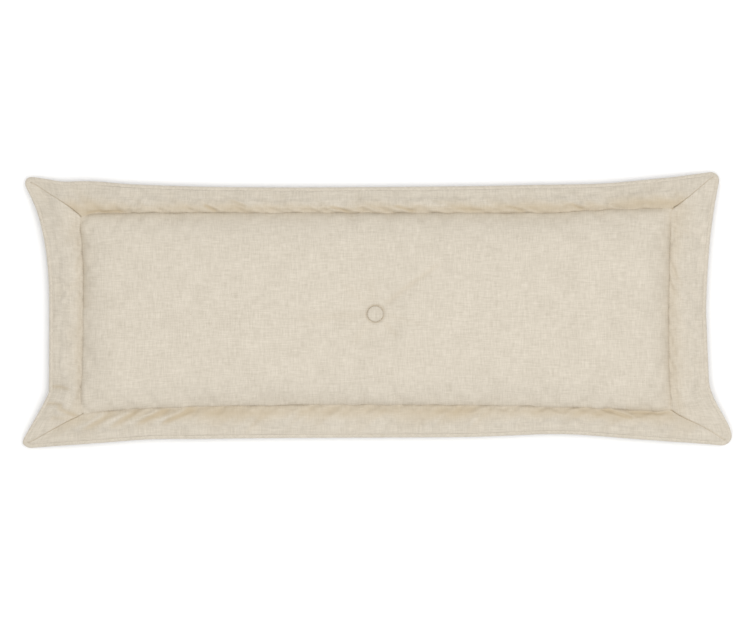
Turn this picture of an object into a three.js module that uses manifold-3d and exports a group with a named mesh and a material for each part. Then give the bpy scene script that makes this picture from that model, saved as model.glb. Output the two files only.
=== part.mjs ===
// A long seat pad in natural linen, lying on its back: a raised centre panel inside a mitred, softly
// padded border, self piping round the edge, one covered button tufted through the middle, a foam and
// wadding insert in its own calico case, and a coil zip in the underside.
// Millimetres. X runs along the pad, Y across it, Z up. The origin is under the middle, on the seat.
import * as THREE from 'three';
import { mergeVertices } from 'three/addons/utils/BufferGeometryUtils.js';
import Module from 'manifold-3d';

const wasm = await Module();
wasm.setup();

// Driving dimensions.
const HALF_LENGTH = 461.5; // of the pattern: filled, the pad measures 36 in over its corners
const HALF_WIDTH = 180.5; // and 14 in across
const PANEL_HALF_LENGTH = 381; // the centre panel, seam to seam, 30 in
const PANEL_HALF_WIDTH = 127; // 10 in
const SEAM_HEIGHT = 30; // the stitched line between panel and border
const EDGE_RISE = 26; // from the seam up to the panel's shoulder
const CROWN = 6; // the panel's extra height in the middle
const SHOULDER = 46; // how far in from the seam the panel stops climbing
const FLANK = 44; // the same for the underside's sloping flanks
const CLOTH = 0.8;
const GAP = 0.35;
const CORNER_RADIUS = 16;
const PIPE_DIAMETER = 6;
const TURNING = 8; // seam allowance inside the border's edge

// Once the pad is filled its sides draw in between the corners, and each corner sits a little differently.
const DRAW_IN = { left: 27, right: 23, rear: 14.5, front: 11 };
const DRAW_IN_POWER = { side: 2.3, end: 1.7 };
const CORNER_SHIFT = { rearLeft: [0, -6.5], rearRight: [-14, 0], frontRight: [0, 3.5], frontLeft: [0, 0] };
const EDGE_BAND = PIPE_DIAMETER + TURNING + 1; // the stiff hem, which moves without stretching

// The border droops from the seam to the piping, most at its four ears, and is padded except there.
const BORDER_DROOP = 14;
const EAR_DROOP = 5;
const BORDER_PUFF = 6;
const TURNING_ROOM = 1.4; // half the space that the piping's turnings need

// Button tuft: both dimples are flat under the button and open out to the rim.
const BUTTON = { x: -1.5, y: -5, radius: 11, height: 6, seat: 20, rim: 56, dimple: 11, backDimple: 10.5 };
const NEEDLE_HOLE = 2.6;

// Zip, in the flank on the -Y side.
const ZIP_HALF_LENGTH = 305;
const ZIP_LINE = -PANEL_HALF_WIDTH + FLANK / 2;
const ZIP_SLOT = 11;

const LINEN = { color: 0xd9cfbd, roughness: 0.92, metalness: 0 };
const CALICO = { color: 0xe9e2d0, roughness: 0.95, metalness: 0 };
const WADDING = { color: 0xf2f1ec, roughness: 1, metalness: 0 };
const FOAM = { color: 0xefe3b4, roughness: 0.9, metalness: 0 };
const CORD = { color: 0xe6dfcf, roughness: 0.95, metalness: 0 };
const ZIP_TAPE = { color: 0xd3c8b4, roughness: 0.85, metalness: 0 };
const NYLON = { color: 0xcbbfa8, roughness: 0.45, metalness: 0 };
const ALLOY = { color: 0xb9b3a6, roughness: 0.35, metalness: 1 };
const TWINE = { color: 0xddd2ba, roughness: 0.9, metalness: 0 };

const pad = new THREE.Group();

function add(name, geometry, finish, parent = pad) {
  const mesh = new THREE.Mesh(geometry, new THREE.MeshStandardMaterial(finish));
  mesh.name = name;
  parent.add(mesh);
  return mesh;
}

// ---- Solids ----

function toSolid(geometry) {
  const bare = geometry.clone();
  bare.deleteAttribute('normal');
  bare.deleteAttribute('uv');
  const merged = mergeVertices(bare, 1e-4);
  const vertProperties = new Float32Array(merged.attributes.position.array);
  return new wasm.Manifold(new wasm.Mesh({
    numProp: 3,
    vertProperties,
    triVerts: new Uint32Array(merged.index.array),
  }));
}

function toGeometry(solid) {
  const { vertProperties, triVerts } = solid.getMesh();
  return new THREE.BufferGeometry()
    .setAttribute('position', new THREE.BufferAttribute(vertProperties, 3))
    .setIndex(new THREE.BufferAttribute(triVerts, 1));
}

// A closed solid between two grids of points. across and along are the grid's parameters, and
// (across, along, up) is right-handed.
function layer(across, along, upper, lower) {
  const columns = across.length;
  const rows = along.length;
  const points = [upper, lower].flatMap((side) => along.flatMap((r) => across.map((c) => side(c, r))));
  const at = (side, c, r) => side * rows * columns + r * columns + c;
  const faces = [];
  const quad = (a, b, c, d) => faces.push(a, b, c, a, c, d);
  for (let r = 0; r + 1 < rows; r++) {
    for (let c = 0; c + 1 < columns; c++) {
      // Each cell is split along the diagonal that runs out from the middle, as the mitres do.
      const falling = (across[c] + across[c + 1]) * (along[r] + along[r + 1]) < 0;
      const corners = [[c, r], [c + 1, r], [c + 1, r + 1], [c, r + 1]];
      if (falling) corners.push(corners.shift());
      const [first, second, third, fourth] = corners;
      quad(...[first, second, third, fourth].map(([i, j]) => at(0, i, j)));
      quad(...[first, fourth, third, second].map(([i, j]) => at(1, i, j)));
    }
  }
  for (let c = 0; c + 1 < columns; c++) {
    quad(at(1, c, 0), at(1, c + 1, 0), at(0, c + 1, 0), at(0, c, 0));
    quad(at(0, c, rows - 1), at(0, c + 1, rows - 1), at(1, c + 1, rows - 1), at(1, c, rows - 1));
  }
  for (let r = 0; r + 1 < rows; r++) {
    quad(at(0, 0, r), at(0, 0, r + 1), at(1, 0, r + 1), at(1, 0, r));
    quad(at(1, columns - 1, r), at(1, columns - 1, r + 1), at(0, columns - 1, r + 1), at(0, columns - 1, r));
  }
  return new THREE.BufferGeometry().setFromPoints(points).setIndex(faces);
}

// A closed ring: the same section of points at every station round the edge.
function ring(stations, section) {
  const sections = stations.map(section);
  const size = sections[0].length;
  const faces = [];
  for (let i = 0; i < stations.length; i++) {
    const next = (i + 1) % stations.length;
    for (let j = 0; j < size; j++) {
      const k = (j + 1) % size;
      faces.push(i * size + j, next * size + j, next * size + k, i * size + j, next * size + k, i * size + k);
    }
  }
  return new THREE.BufferGeometry().setFromPoints(sections.flat()).setIndex(faces);
}

// ---- The pad's shape, worked out on the flat pattern and then drawn in ----

const clamp01 = (x) => Math.min(Math.max(x, 0), 1);
const smooth = (x) => clamp01(x) ** 2 * (3 - 2 * clamp01(x));
const mix = (a, b, share) => a + (b - a) * share;
const BORDER_X = HALF_LENGTH - PANEL_HALF_LENGTH;
const BORDER_Y = HALF_WIDTH - PANEL_HALF_WIDTH;
const borderShareX = (u) => clamp01((Math.abs(u) - PANEL_HALF_LENGTH) / BORDER_X);
const borderShareY = (v) => clamp01((Math.abs(v) - PANEL_HALF_WIDTH) / BORDER_Y);
const borderShare = (u, v) => Math.max(borderShareX(u), borderShareY(v));
const insetX = (u) => Math.max(PANEL_HALF_LENGTH - Math.abs(u), 0);
const insetY = (v) => Math.max(PANEL_HALF_WIDTH - Math.abs(v), 0);
const fromButton = (u, v) => Math.hypot(u - BUTTON.x, v - BUTTON.y);

// A pattern point as it lies once the corners are rounded and the sides have drawn in.
function drawnIn(u, v) {
  let x = Math.abs(u);
  let y = Math.abs(v);
  const cornerX = x - (HALF_LENGTH - CORNER_RADIUS);
  const cornerY = y - (HALF_WIDTH - CORNER_RADIUS);
  if (cornerX > 0 && cornerY > 0) {
    const share = Math.max(cornerX, cornerY) / Math.hypot(cornerX, cornerY);
    x += cornerX * (share - 1);
    y += cornerY * (share - 1);
  }
  const pullX = clamp01((x - PANEL_HALF_LENGTH) / (BORDER_X - EDGE_BAND));
  const pullY = clamp01((y - PANEL_HALF_WIDTH) / (BORDER_Y - EDGE_BAND));
  const end = u < 0 ? 'Left' : 'Right';
  const side = v < 0 ? 'front' : 'rear';
  const [rear, front] = [CORNER_SHIFT[`rear${end}`][0], CORNER_SHIFT[`front${end}`][0]];
  const [left, right] = [CORNER_SHIFT[`${side}Left`][1], CORNER_SHIFT[`${side}Right`][1]];
  const drawX = DRAW_IN[end.toLowerCase()] * (1 - (y / HALF_WIDTH) ** DRAW_IN_POWER.end);
  const drawY = DRAW_IN[side] * (1 - (x / HALF_LENGTH) ** DRAW_IN_POWER.side);
  return [
    Math.sign(u) * (x - pullX * drawX) + pullX * mix(front, rear, (v / HALF_WIDTH + 1) / 2),
    Math.sign(v) * (y - pullY * drawY) + pullY * mix(left, right, (u / HALF_LENGTH + 1) / 2),
  ];
}

const placed = (u, v, z) => new THREE.Vector3(...drawnIn(u, v), z);

// A dimple's depth as a share: all of it under the button, none of it past the rim.
const dimple = (u, v) => 1 - smooth((fromButton(u, v) - BUTTON.seat) / (BUTTON.rim - BUTTON.seat));

// The panel's top: a steep roll at the seam, a gentle crown and the button's dimple.
function panelTop(u, v) {
  const roll = (inset) => 1 - (1 - clamp01(inset / SHOULDER)) ** 2.6;
  const shoulder = (roll(insetX(u)) * roll(insetY(v))) ** 0.6;
  const arch = (share) => Math.max(Math.cos((Math.PI / 2) * share), 0);
  const crown = CROWN * arch(u / PANEL_HALF_LENGTH) * arch(v / PANEL_HALF_WIDTH);
  return SEAM_HEIGHT + EDGE_RISE * shoulder + crown - BUTTON.dimple * dimple(u, v);
}

// The outer face of the back: hipped flanks, flat on the seat, and a dimple for the back button.
const BACK_SEAM = SEAM_HEIGHT - CLOTH * 1.5 - GAP;

function panelBottom(u, v) {
  const flank = 1 - Math.min(insetX(u), insetY(v)) / FLANK;
  return BACK_SEAM * clamp01(flank) + BUTTON.backDimple * dimple(u, v);
}

// The border's two cloths meet at the seam and spread to hold the padding and the piping's turnings.
const borderMiddle = (u, v) => SEAM_HEIGHT - (CLOTH + GAP) / 2
  - BORDER_DROOP * borderShare(u, v) ** 1.4
  - EAR_DROOP * borderShareX(u) * borderShareY(v);

function borderHalf(u, v) {
  const filled = (1 - (Math.abs(u) / HALF_LENGTH) ** 8) * (1 - (Math.abs(v) / HALF_WIDTH) ** 7);
  const puff = BORDER_PUFF * Math.max(filled, 0) ** 0.5 * Math.sin(Math.PI * borderShare(u, v)) ** 0.8;
  return GAP / 2 + (TURNING_ROOM - GAP / 2) * clamp01(borderShare(u, v) * 4) + puff;
}

// Every layer of the panel shares these grid lines, so that layers lie parallel. A layer's edge is on one.
const CASE_INSET = 3;
const WADDING_INSET = 10;
const FOAM_INSET = 16;
const EDGE_LINES = [0, CASE_INSET, WADDING_INSET, FOAM_INSET, FLANK];
const DIMPLE_LINES = [16, 36, 58];

function gridLines(half, middle, button, inset) {
  const edges = EDGE_LINES.filter((line) => line >= inset).map((line) => half - line);
  return [
    ...edges.map((x) => -x),
    ...middle.map((x) => -x),
    ...DIMPLE_LINES.map((x) => button - x).toReversed(),
    button,
    ...DIMPLE_LINES.map((x) => button + x),
    ...middle.toReversed(),
    ...edges.toReversed(),
  ];
}

const panelAcross = (inset) => gridLines(PANEL_HALF_LENGTH, [240, 130], BUTTON.x, inset);
const panelAlong = (inset) => gridLines(PANEL_HALF_WIDTH, [], BUTTON.y, inset);

function needle() {
  const hole = new THREE.CylinderGeometry(NEEDLE_HOLE, NEEDLE_HOLE, 200, 10);
  return toSolid(hole.rotateX(Math.PI / 2).translate(BUTTON.x, BUTTON.y, 0));
}

// A panel-shaped solid between two heights, its edge inset from the seam, with the hole for the twine.
function panelLayer(inset, upper, lower) {
  const height = (face) => (u, v) => placed(u, v, face(u, v));
  const whole = layer(panelAcross(inset), panelAlong(inset), height(upper), height(lower));
  return toGeometry(toSolid(whole).subtract(needle()));
}

// ---- Cover ----

const panelOuter = (u, v) => panelTop(u, v) + CLOTH / 2;
const panelInner = (u, v) => panelTop(u, v) - CLOTH / 2;
add('front_panel', panelLayer(0, panelOuter, panelInner), LINEN);

// The four sides of the border, each with its outward direction.
const SIDES = { rear: [0, 1], right: [1, 0], front: [0, -1], left: [-1, 0] };
const BORDER_OUTER = PIPE_DIAMETER + 2 * GAP; // where the border's cloth ends, in from the piping's outside

// A point of one side's strip: along from mitre to mitre (-1 to 1), across from the seam (0) outwards (1).
function stripPoint([outX, outY], along, across) {
  const panelSize = [PANEL_HALF_LENGTH, PANEL_HALF_WIDTH];
  const [panelReach, panelRun] = outY ? panelSize.toReversed() : panelSize;
  const [edgeReach, edgeRun] = outY ? [HALF_WIDTH, HALF_LENGTH] : [HALF_LENGTH, HALF_WIDTH];
  const reach = mix(panelReach, edgeReach, across);
  const run = along * (mix(panelRun, edgeRun, across) - GAP);
  return [outY * run + outX * reach, -outX * run + outY * reach];
}

const steps = (count, from = 0, to = 1) =>
  Array.from({ length: count + 1 }, (_, i) => from + ((to - from) * i) / count);

// The shares of the border's width at which its layers have a line; the padding fills all of them.
const PADDED = [0.15, 0.3, 0.48, 0.66];
const stripRun = [-1, -0.94, -0.85, -0.66, -0.33, 0, 0.33, 0.66, 0.85, 0.94, 1];

function strip(direction, shares, upper, lower) {
  const height = (face) => (along, across) => {
    const [u, v] = stripPoint(direction, along, across);
    return placed(u, v, face(u, v));
  };
  return layer(stripRun, shares, height(upper), height(lower));
}

for (const [side, direction] of Object.entries(SIDES)) {
  const width = direction[1] ? BORDER_Y : BORDER_X;
  add(`border_${side}`, strip(direction, [GAP / width, ...PADDED, 1 - BORDER_OUTER / width],
    (u, v) => borderMiddle(u, v) + borderHalf(u, v) + CLOTH,
    (u, v) => borderMiddle(u, v) + borderHalf(u, v)), LINEN);
}

// The back is one sheet from edge to edge, cut in two along the zip.
function backSurface(u, v) {
  return borderShare(u, v) > 0 ? borderMiddle(u, v) - borderHalf(u, v) - CLOTH : panelBottom(u, v);
}

const zipFrame = new THREE.Group(); // its +Z points out of the flank, its X runs along the zip
zipFrame.position.set(0, ZIP_LINE, BACK_SEAM / 2);
zipFrame.rotation.x = Math.PI - Math.atan2(BACK_SEAM, FLANK);
zipFrame.updateMatrix();
pad.add(zipFrame);

function backSolids() {
  const lines = (panel, outer, inner) => {
    const shares = [0.008, ...PADDED].map((share) => mix(panel, outer, share));
    const edge = [...shares, outer - BORDER_OUTER];
    return [...edge.toReversed().map((x) => -x), ...inner, ...edge];
  };
  const across = lines(PANEL_HALF_LENGTH, HALF_LENGTH, panelAcross(0));
  const along = lines(PANEL_HALF_WIDTH, HALF_WIDTH, panelAlong(0));
  const sheet = toSolid(layer(across, along,
    (u, v) => placed(u, v, backSurface(u, v) + CLOTH), (u, v) => placed(u, v, backSurface(u, v))));
  const slot = new THREE.BoxGeometry(2 * ZIP_HALF_LENGTH + 12, ZIP_SLOT, 20).applyMatrix4(zipFrame.matrix);
  const whole = sheet.subtract(needle()).subtract(toSolid(slot));
  const reach = 400;
  const beside = (way) => {
    const half = new THREE.BoxGeometry(1200, reach, 200);
    return whole.intersect(toSolid(half.translate(0, ZIP_LINE + (way * (reach + GAP)) / 2, 0)));
  };
  return [beside(1), beside(-1)];
}

const [backPanel, backZipPanel] = backSolids();
add('back_panel', toGeometry(backPanel), LINEN);
add('back_zip_panel', toGeometry(backZipPanel), LINEN);

// ---- Piping: a bias strip folded round a cotton cord, its two turnings held in the border's seam ----

const PIPE_CLOTH = 0.6;

// Stations round the edge, closest together at the corners, as shares of each side.
const sideStations = [-1, -0.985, -0.965, -0.9, -0.66, -0.33, 0, 0.33, 0.66, 0.9, 0.965, 0.985];
const stations = Object.values(SIDES)
  .flatMap((direction) => sideStations.map((share) => ({ direction, share })));

// A point at a station, so far in from the piping's outside and so far above the border's middle.
function edgePoint({ direction: [outX, outY], share }, inset, rise) {
  const [reach, run] = outY ? [HALF_WIDTH, HALF_LENGTH] : [HALF_LENGTH, HALF_WIDTH];
  const across = reach - inset;
  const along = share * (run - inset);
  const u = outY * along + outX * across;
  const v = -outX * along + outY * across;
  return placed(u, v, borderMiddle(u, v) + rise);
}

// Once round the pipe, from the upper turning's root over the outside to the lower turning's root.
function pipeArc(radius, root, count) {
  const opening = Math.asin(root / radius);
  return steps(count, opening, 2 * Math.PI - opening)
    .map((angle) => [PIPE_DIAMETER / 2 + radius * Math.cos(angle), radius * Math.sin(angle)]);
}

function wrapSection(station) {
  const radius = PIPE_DIAMETER / 2;
  const low = GAP / 2;
  const high = low + PIPE_CLOTH;
  const end = PIPE_DIAMETER + TURNING;
  const outside = pipeArc(radius, high, 7);
  const inside = pipeArc(radius - PIPE_CLOTH, low, 6);
  return [[end, high], ...outside, [end, -high], [end, -low], ...inside.toReversed(), [end, low]]
    .map(([inset, rise]) => edgePoint(station, inset, rise));
}

add('piping_wrap', ring(stations, wrapSection), LINEN);

function cordSection(station) {
  const radius = PIPE_DIAMETER / 2 - PIPE_CLOTH - GAP;
  return steps(6).slice(0, -1).map((turn) => {
    const angle = turn * 2 * Math.PI;
    return edgePoint(station, PIPE_DIAMETER / 2 + radius * Math.cos(angle), radius * Math.sin(angle));
  });
}

add('piping_cord', ring(stations, cordSection), CORD);

// ---- Border padding: one strip of wadding to each side, between the seam and the piping's turnings ----

for (const [side, direction] of Object.entries(SIDES)) {
  const half = (u, v) => borderHalf(u, v) - 2 * GAP;
  add(`border_wadding_${side}`, strip(direction, PADDED,
    (u, v) => borderMiddle(u, v) + half(u, v),
    (u, v) => borderMiddle(u, v) - half(u, v)), WADDING);
}

// ---- Insert: a foam core between two sheets of wadding, in a calico case sewn round its edge ----

const CASE_CLOTH = 0.6;
const UNDER_PANEL = CLOTH / 2 + GAP;
const OVER_BACK = CLOTH + GAP;
const OVER_ZIP = 5.2; // the zip's tapes and slider lie between
const WADDING_ABOVE = 8;
const WADDING_BELOW = 6;

// 0 at the case's edge seam, 1 where the case lies against the cover.
const lying = (u, v) => clamp01((Math.min(insetX(u), insetY(v)) - CASE_INSET) / (WADDING_INSET - CASE_INSET));

// How far the insert keeps above the back: more over the zip, all along the -Y flank.
const overBack = (v) => mix(OVER_BACK, OVER_ZIP, smooth((30 - Math.abs(v - ZIP_LINE)) / 12));

const caseTop = (u, v) => mix(SEAM_HEIGHT + GAP / 2 + CASE_CLOTH, panelTop(u, v) - UNDER_PANEL, lying(u, v));
const caseBottom = (u, v) =>
  mix(SEAM_HEIGHT - GAP / 2 - CASE_CLOTH, panelBottom(u, v) + overBack(v), lying(u, v));

add('insert_case_top', panelLayer(CASE_INSET, caseTop, (u, v) => caseTop(u, v) - CASE_CLOTH), CALICO);
const caseFloor = (u, v) => caseBottom(u, v) + CASE_CLOTH;
add('insert_case_bottom', panelLayer(CASE_INSET, caseFloor, caseBottom), CALICO);

const foamTop = (u, v) => panelTop(u, v) - UNDER_PANEL - CASE_CLOTH - GAP - WADDING_ABOVE;
const foamBottom = (u, v) => panelBottom(u, v) + OVER_ZIP + CASE_CLOTH + GAP + WADDING_BELOW;
const overFoam = (u, v) => Math.min(insetX(u), insetY(v)) >= FOAM_INSET;

add('foam_core', panelLayer(FOAM_INSET, foamTop, foamBottom), FOAM);
add('wadding_top', panelLayer(WADDING_INSET,
  (u, v) => caseTop(u, v) - CASE_CLOTH - GAP,
  (u, v) => (overFoam(u, v) ? foamTop(u, v) : SEAM_HEIGHT) + GAP), WADDING);
add('wadding_bottom', panelLayer(WADDING_INSET,
  (u, v) => (overFoam(u, v) ? foamBottom(u, v) : SEAM_HEIGHT) - GAP,
  (u, v) => caseBottom(u, v) + CASE_CLOTH + GAP), WADDING);

// ---- Zip: closed, with its slider against the top stops. In zipFrame +Z points out of the flank ----

const COIL = { width: 2.3, height: 1.9, gap: 1.3, low: -0.9 };
const TAPE = { width: 13, thickness: 0.5, low: -1.6 };
const SLIDER = { width: 8.6, length: 11, plate: 1.1, x: ZIP_HALF_LENGTH - 12 };
const COIL_TOP = COIL.low + COIL.height;
const COIL_SETBACK = 6; // how far the coils and their stops keep from the tapes' ends
const STOP = { length: 3, height: 2.2, x: ZIP_HALF_LENGTH - 3.5 };

function box(width, depth, height, x, y, z) {
  return new THREE.BoxGeometry(width, depth, height).translate(x, y, z + height / 2);
}

for (const [side, sign] of [['rear', -1], ['front', 1]]) {
  const tapeY = sign * (COIL.gap / 2 + TAPE.width / 2);
  const coilY = sign * (COIL.gap / 2 + COIL.width / 2);
  const tape = box(2 * ZIP_HALF_LENGTH, TAPE.width, TAPE.thickness, 0, tapeY, TAPE.low);
  const coilLength = 2 * (ZIP_HALF_LENGTH - COIL_SETBACK);
  const coil = box(coilLength, COIL.width, COIL.height, 0, coilY, COIL.low);
  const topStop = box(STOP.length, COIL.width, STOP.height, STOP.x, coilY, COIL.low);
  add(`zip_tape_${side}`, tape, ZIP_TAPE, zipFrame);
  add(`zip_coil_${side}`, coil, NYLON, zipFrame);
  add(`zip_top_stop_${side}`, topStop, ALLOY, zipFrame);
}
const bottomStop = box(STOP.length, 2 * COIL.width + COIL.gap, STOP.height, -STOP.x, 0, COIL.low);
add('zip_bottom_stop', bottomStop, ALLOY, zipFrame);

// The slider: an outer and an inner plate, joined by a thin web between the two rows of the coil, and a
// bridge over the top that holds the pull.
function plateShape(length, width, nose) {
  const shape = new THREE.Shape();
  shape.moveTo(-length / 2, -width / 2 + nose);
  shape.lineTo(-length / 2 + nose, -width / 2);
  shape.lineTo(length / 2 - nose, -width / 2);
  shape.quadraticCurveTo(length / 2, -width / 2, length / 2, -width / 2 + nose);
  shape.lineTo(length / 2, width / 2 - nose);
  shape.quadraticCurveTo(length / 2, width / 2, length / 2 - nose, width / 2);
  shape.lineTo(-length / 2 + nose, width / 2);
  shape.lineTo(-length / 2, width / 2 - nose);
  shape.closePath();
  return shape;
}

const BRIDGE = { x: 0.5, span: 6, rise: 3.1, thick: 0.9, width: 1.8 };
const outerPlateLow = COIL_TOP + GAP;
const outerPlateHigh = outerPlateLow + SLIDER.plate;

function sliderGeometry() {
  const plate = (low) => new THREE.ExtrudeGeometry(plateShape(SLIDER.length, SLIDER.width, 2), {
    depth: SLIDER.plate, bevelEnabled: false, curveSegments: 3,
  }).translate(0, 0, low);
  const innerPlateLow = TAPE.low - GAP - SLIDER.plate;
  const web = box(4, 0.6, outerPlateHigh - innerPlateLow - 0.4, 2.6, 0, innerPlateLow + 0.2);
  const arch = new THREE.Shape();
  arch.moveTo(-BRIDGE.span / 2, 0);
  arch.lineTo(-BRIDGE.span / 2, BRIDGE.rise - 0.8);
  arch.lineTo(-BRIDGE.span / 2 + 0.8, BRIDGE.rise);
  arch.lineTo(BRIDGE.span / 2 - 0.8, BRIDGE.rise);
  arch.lineTo(BRIDGE.span / 2, BRIDGE.rise - 0.8);
  arch.lineTo(BRIDGE.span / 2, 0);
  arch.lineTo(BRIDGE.span / 2 - BRIDGE.thick, 0);
  arch.lineTo(BRIDGE.span / 2 - BRIDGE.thick, BRIDGE.rise - BRIDGE.thick);
  arch.lineTo(-BRIDGE.span / 2 + BRIDGE.thick, BRIDGE.rise - BRIDGE.thick);
  arch.lineTo(-BRIDGE.span / 2 + BRIDGE.thick, 0);
  arch.closePath();
  const bridge = new THREE.ExtrudeGeometry(arch, { depth: BRIDGE.width, bevelEnabled: false })
    .translate(0, 0, -BRIDGE.width / 2)
    .rotateX(Math.PI / 2)
    .translate(BRIDGE.x, 0, outerPlateHigh - 0.2);
  return toGeometry([plate(outerPlateLow), plate(innerPlateLow), web, bridge]
    .map(toSolid)
    .reduce((whole, piece) => whole.add(piece)));
}

const slider = new THREE.Group();
slider.position.x = SLIDER.x;
zipFrame.add(slider);
add('zip_slider', sliderGeometry(), ALLOY, slider);

// The pull tab: its end bar turns under the bridge, and its eye takes the bridge's near leg.
const TAB = { length: 26, width: 6.4, thickness: 1.1, bar: 0.9, eyeLength: 3.2, eyeWidth: 3 };

function tabGeometry() {
  const half = TAB.width / 2;
  const nose = TAB.bar / 2;
  const shape = new THREE.Shape();
  shape.moveTo(nose, -half * 0.8);
  shape.lineTo(nose, half * 0.8);
  shape.lineTo(half - TAB.length, half);
  shape.absarc(half - TAB.length, 0, half, Math.PI / 2, (3 * Math.PI) / 2);
  shape.closePath();
  const eye = new THREE.Path();
  eye.moveTo(-nose, -TAB.eyeWidth / 2);
  eye.lineTo(-nose - TAB.eyeLength, -TAB.eyeWidth / 2);
  eye.lineTo(-nose - TAB.eyeLength, TAB.eyeWidth / 2);
  eye.lineTo(-nose, TAB.eyeWidth / 2);
  eye.closePath();
  shape.holes.push(eye);
  return new THREE.ExtrudeGeometry(shape, { depth: TAB.thickness, bevelEnabled: false, curveSegments: 8 })
    .translate(0, 0, -TAB.thickness / 2);
}

add('zip_pull_tab', tabGeometry(), ALLOY, slider).position.set(0.3, 0, outerPlateHigh + 1);

// ---- Button tuft: a linen-covered button above and below, tied together by a loop of twine ----

const WIRE = 0.5;
const EYE_RADIUS = 1.9;
const EYE_LEVEL = -0.2; // the eye's middle, above the cloth that the button sits on
const BRIM = { cover: 1.8, shell: 1.4 }; // the upright rims under the two domes
const SHELL = { thickness: 0.5, base: 0.4 };
const PLATE = { low: 0.2, high: 1, inset: 0.9 };
const frontSeat = panelTop(BUTTON.x, BUTTON.y) + CLOTH / 2 + GAP;
const backSeat = panelBottom(BUTTON.x, BUTTON.y) - GAP;

// A dome as a lathe profile, from the middle of its base round to the middle of its crown.
function domeProfile(radius, height, base, brim) {
  const crown = steps(4).map((share) => {
    const angle = (share * Math.PI) / 2;
    const out = share < 1 ? radius * Math.cos(angle) : 0;
    return new THREE.Vector2(out, brim + (height - brim) * Math.sin(angle));
  });
  return [new THREE.Vector2(0, base), new THREE.Vector2(radius, base), ...crown];
}

const turned = (profile) => new THREE.LatheGeometry(profile, 16).rotateX(Math.PI / 2);

// A dome with its inside taken out, open underneath.
function cap(radius, height, thick, brim) {
  const outside = toSolid(turned(domeProfile(radius, height, 0, brim)));
  return toGeometry(outside.subtract(toSolid(turned(domeProfile(radius - thick, height - thick, -1, brim)))));
}

for (const [face, seat, flip] of [['front', frontSeat, 1], ['back', backSeat, -1]]) {
  const button = new THREE.Group();
  button.position.set(BUTTON.x, BUTTON.y, seat);
  if (flip < 0) button.rotation.x = Math.PI;
  pad.add(button);
  const name = (piece) => `button_${face}_${piece}`;
  add(name('cover'), cap(BUTTON.radius, BUTTON.height, CLOTH, BRIM.cover), LINEN, button);
  const shellRadius = BUTTON.radius - CLOTH - GAP;
  const shellHeight = BUTTON.height - CLOTH - GAP - SHELL.base;
  const shell = cap(shellRadius, shellHeight, SHELL.thickness, BRIM.shell);
  add(name('shell'), shell.translate(0, 0, SHELL.base), ALLOY, button);
  const eye = (wire) => new THREE.TorusGeometry(EYE_RADIUS, wire, 6, 14)
    .rotateY(Math.PI / 2)
    .translate(0, 0, EYE_LEVEL);
  const plateRadius = shellRadius - PLATE.inset;
  const plateProfile = [[0, PLATE.low], [plateRadius, PLATE.low], [plateRadius, PLATE.high], [0, PLATE.high]];
  const plate = turned(plateProfile.map(([x, y]) => new THREE.Vector2(x, y)));
  add(name('plate'), toGeometry(toSolid(plate).subtract(toSolid(eye(WIRE + 0.2)))), ALLOY, button);
  add(name('eye'), eye(WIRE), ALLOY, button);
}

// The twine: one long closed loop, linked round the lowest wire of each eye.
const TWINE_RADIUS = 0.6;
const LOOP_RADIUS = WIRE + TWINE_RADIUS + 0.2;

function twineGeometry() {
  const high = frontSeat + EYE_LEVEL - EYE_RADIUS;
  const low = backSeat - EYE_LEVEL + EYE_RADIUS;
  const bend = (z, from) => steps(6).slice(0, -1).map((share) => {
    const angle = from + share * Math.PI;
    return new THREE.Vector3(LOOP_RADIUS * Math.cos(angle), 0, z + LOOP_RADIUS * Math.sin(angle));
  });
  const strand = (x, from, to) => steps(4, from, to).slice(0, -1).map((z) => new THREE.Vector3(x, 0, z));
  const route = new THREE.CatmullRomCurve3([
    ...bend(high, 0),
    ...strand(-LOOP_RADIUS, high, low),
    ...bend(low, Math.PI),
    ...strand(LOOP_RADIUS, low, high),
  ], true, 'centripetal');
  return new THREE.TubeGeometry(route, 36, TWINE_RADIUS, 6, true).translate(BUTTON.x, BUTTON.y, 0);
}

add('tufting_twine', twineGeometry(), TWINE);

export default pad;
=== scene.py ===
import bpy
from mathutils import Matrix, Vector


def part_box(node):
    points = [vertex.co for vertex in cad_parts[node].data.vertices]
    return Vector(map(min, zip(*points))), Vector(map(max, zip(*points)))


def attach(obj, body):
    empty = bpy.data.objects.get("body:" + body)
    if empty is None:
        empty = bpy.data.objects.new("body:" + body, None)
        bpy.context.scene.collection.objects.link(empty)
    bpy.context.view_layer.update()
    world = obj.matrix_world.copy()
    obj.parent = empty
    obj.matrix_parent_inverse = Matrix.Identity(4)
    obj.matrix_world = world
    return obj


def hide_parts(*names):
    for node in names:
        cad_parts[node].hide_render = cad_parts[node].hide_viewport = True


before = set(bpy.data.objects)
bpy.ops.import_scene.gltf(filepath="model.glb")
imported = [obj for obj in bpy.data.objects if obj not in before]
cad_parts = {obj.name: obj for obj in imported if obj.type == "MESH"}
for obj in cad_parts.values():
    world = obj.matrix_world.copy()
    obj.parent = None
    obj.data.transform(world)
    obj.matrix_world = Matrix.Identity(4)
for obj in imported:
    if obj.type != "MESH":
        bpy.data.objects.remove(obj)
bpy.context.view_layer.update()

import math

import bpy
import numpy as np
from mathutils import Vector

bpy.ops.object.select_all(action="DESELECT")
MM = 0.001

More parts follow.
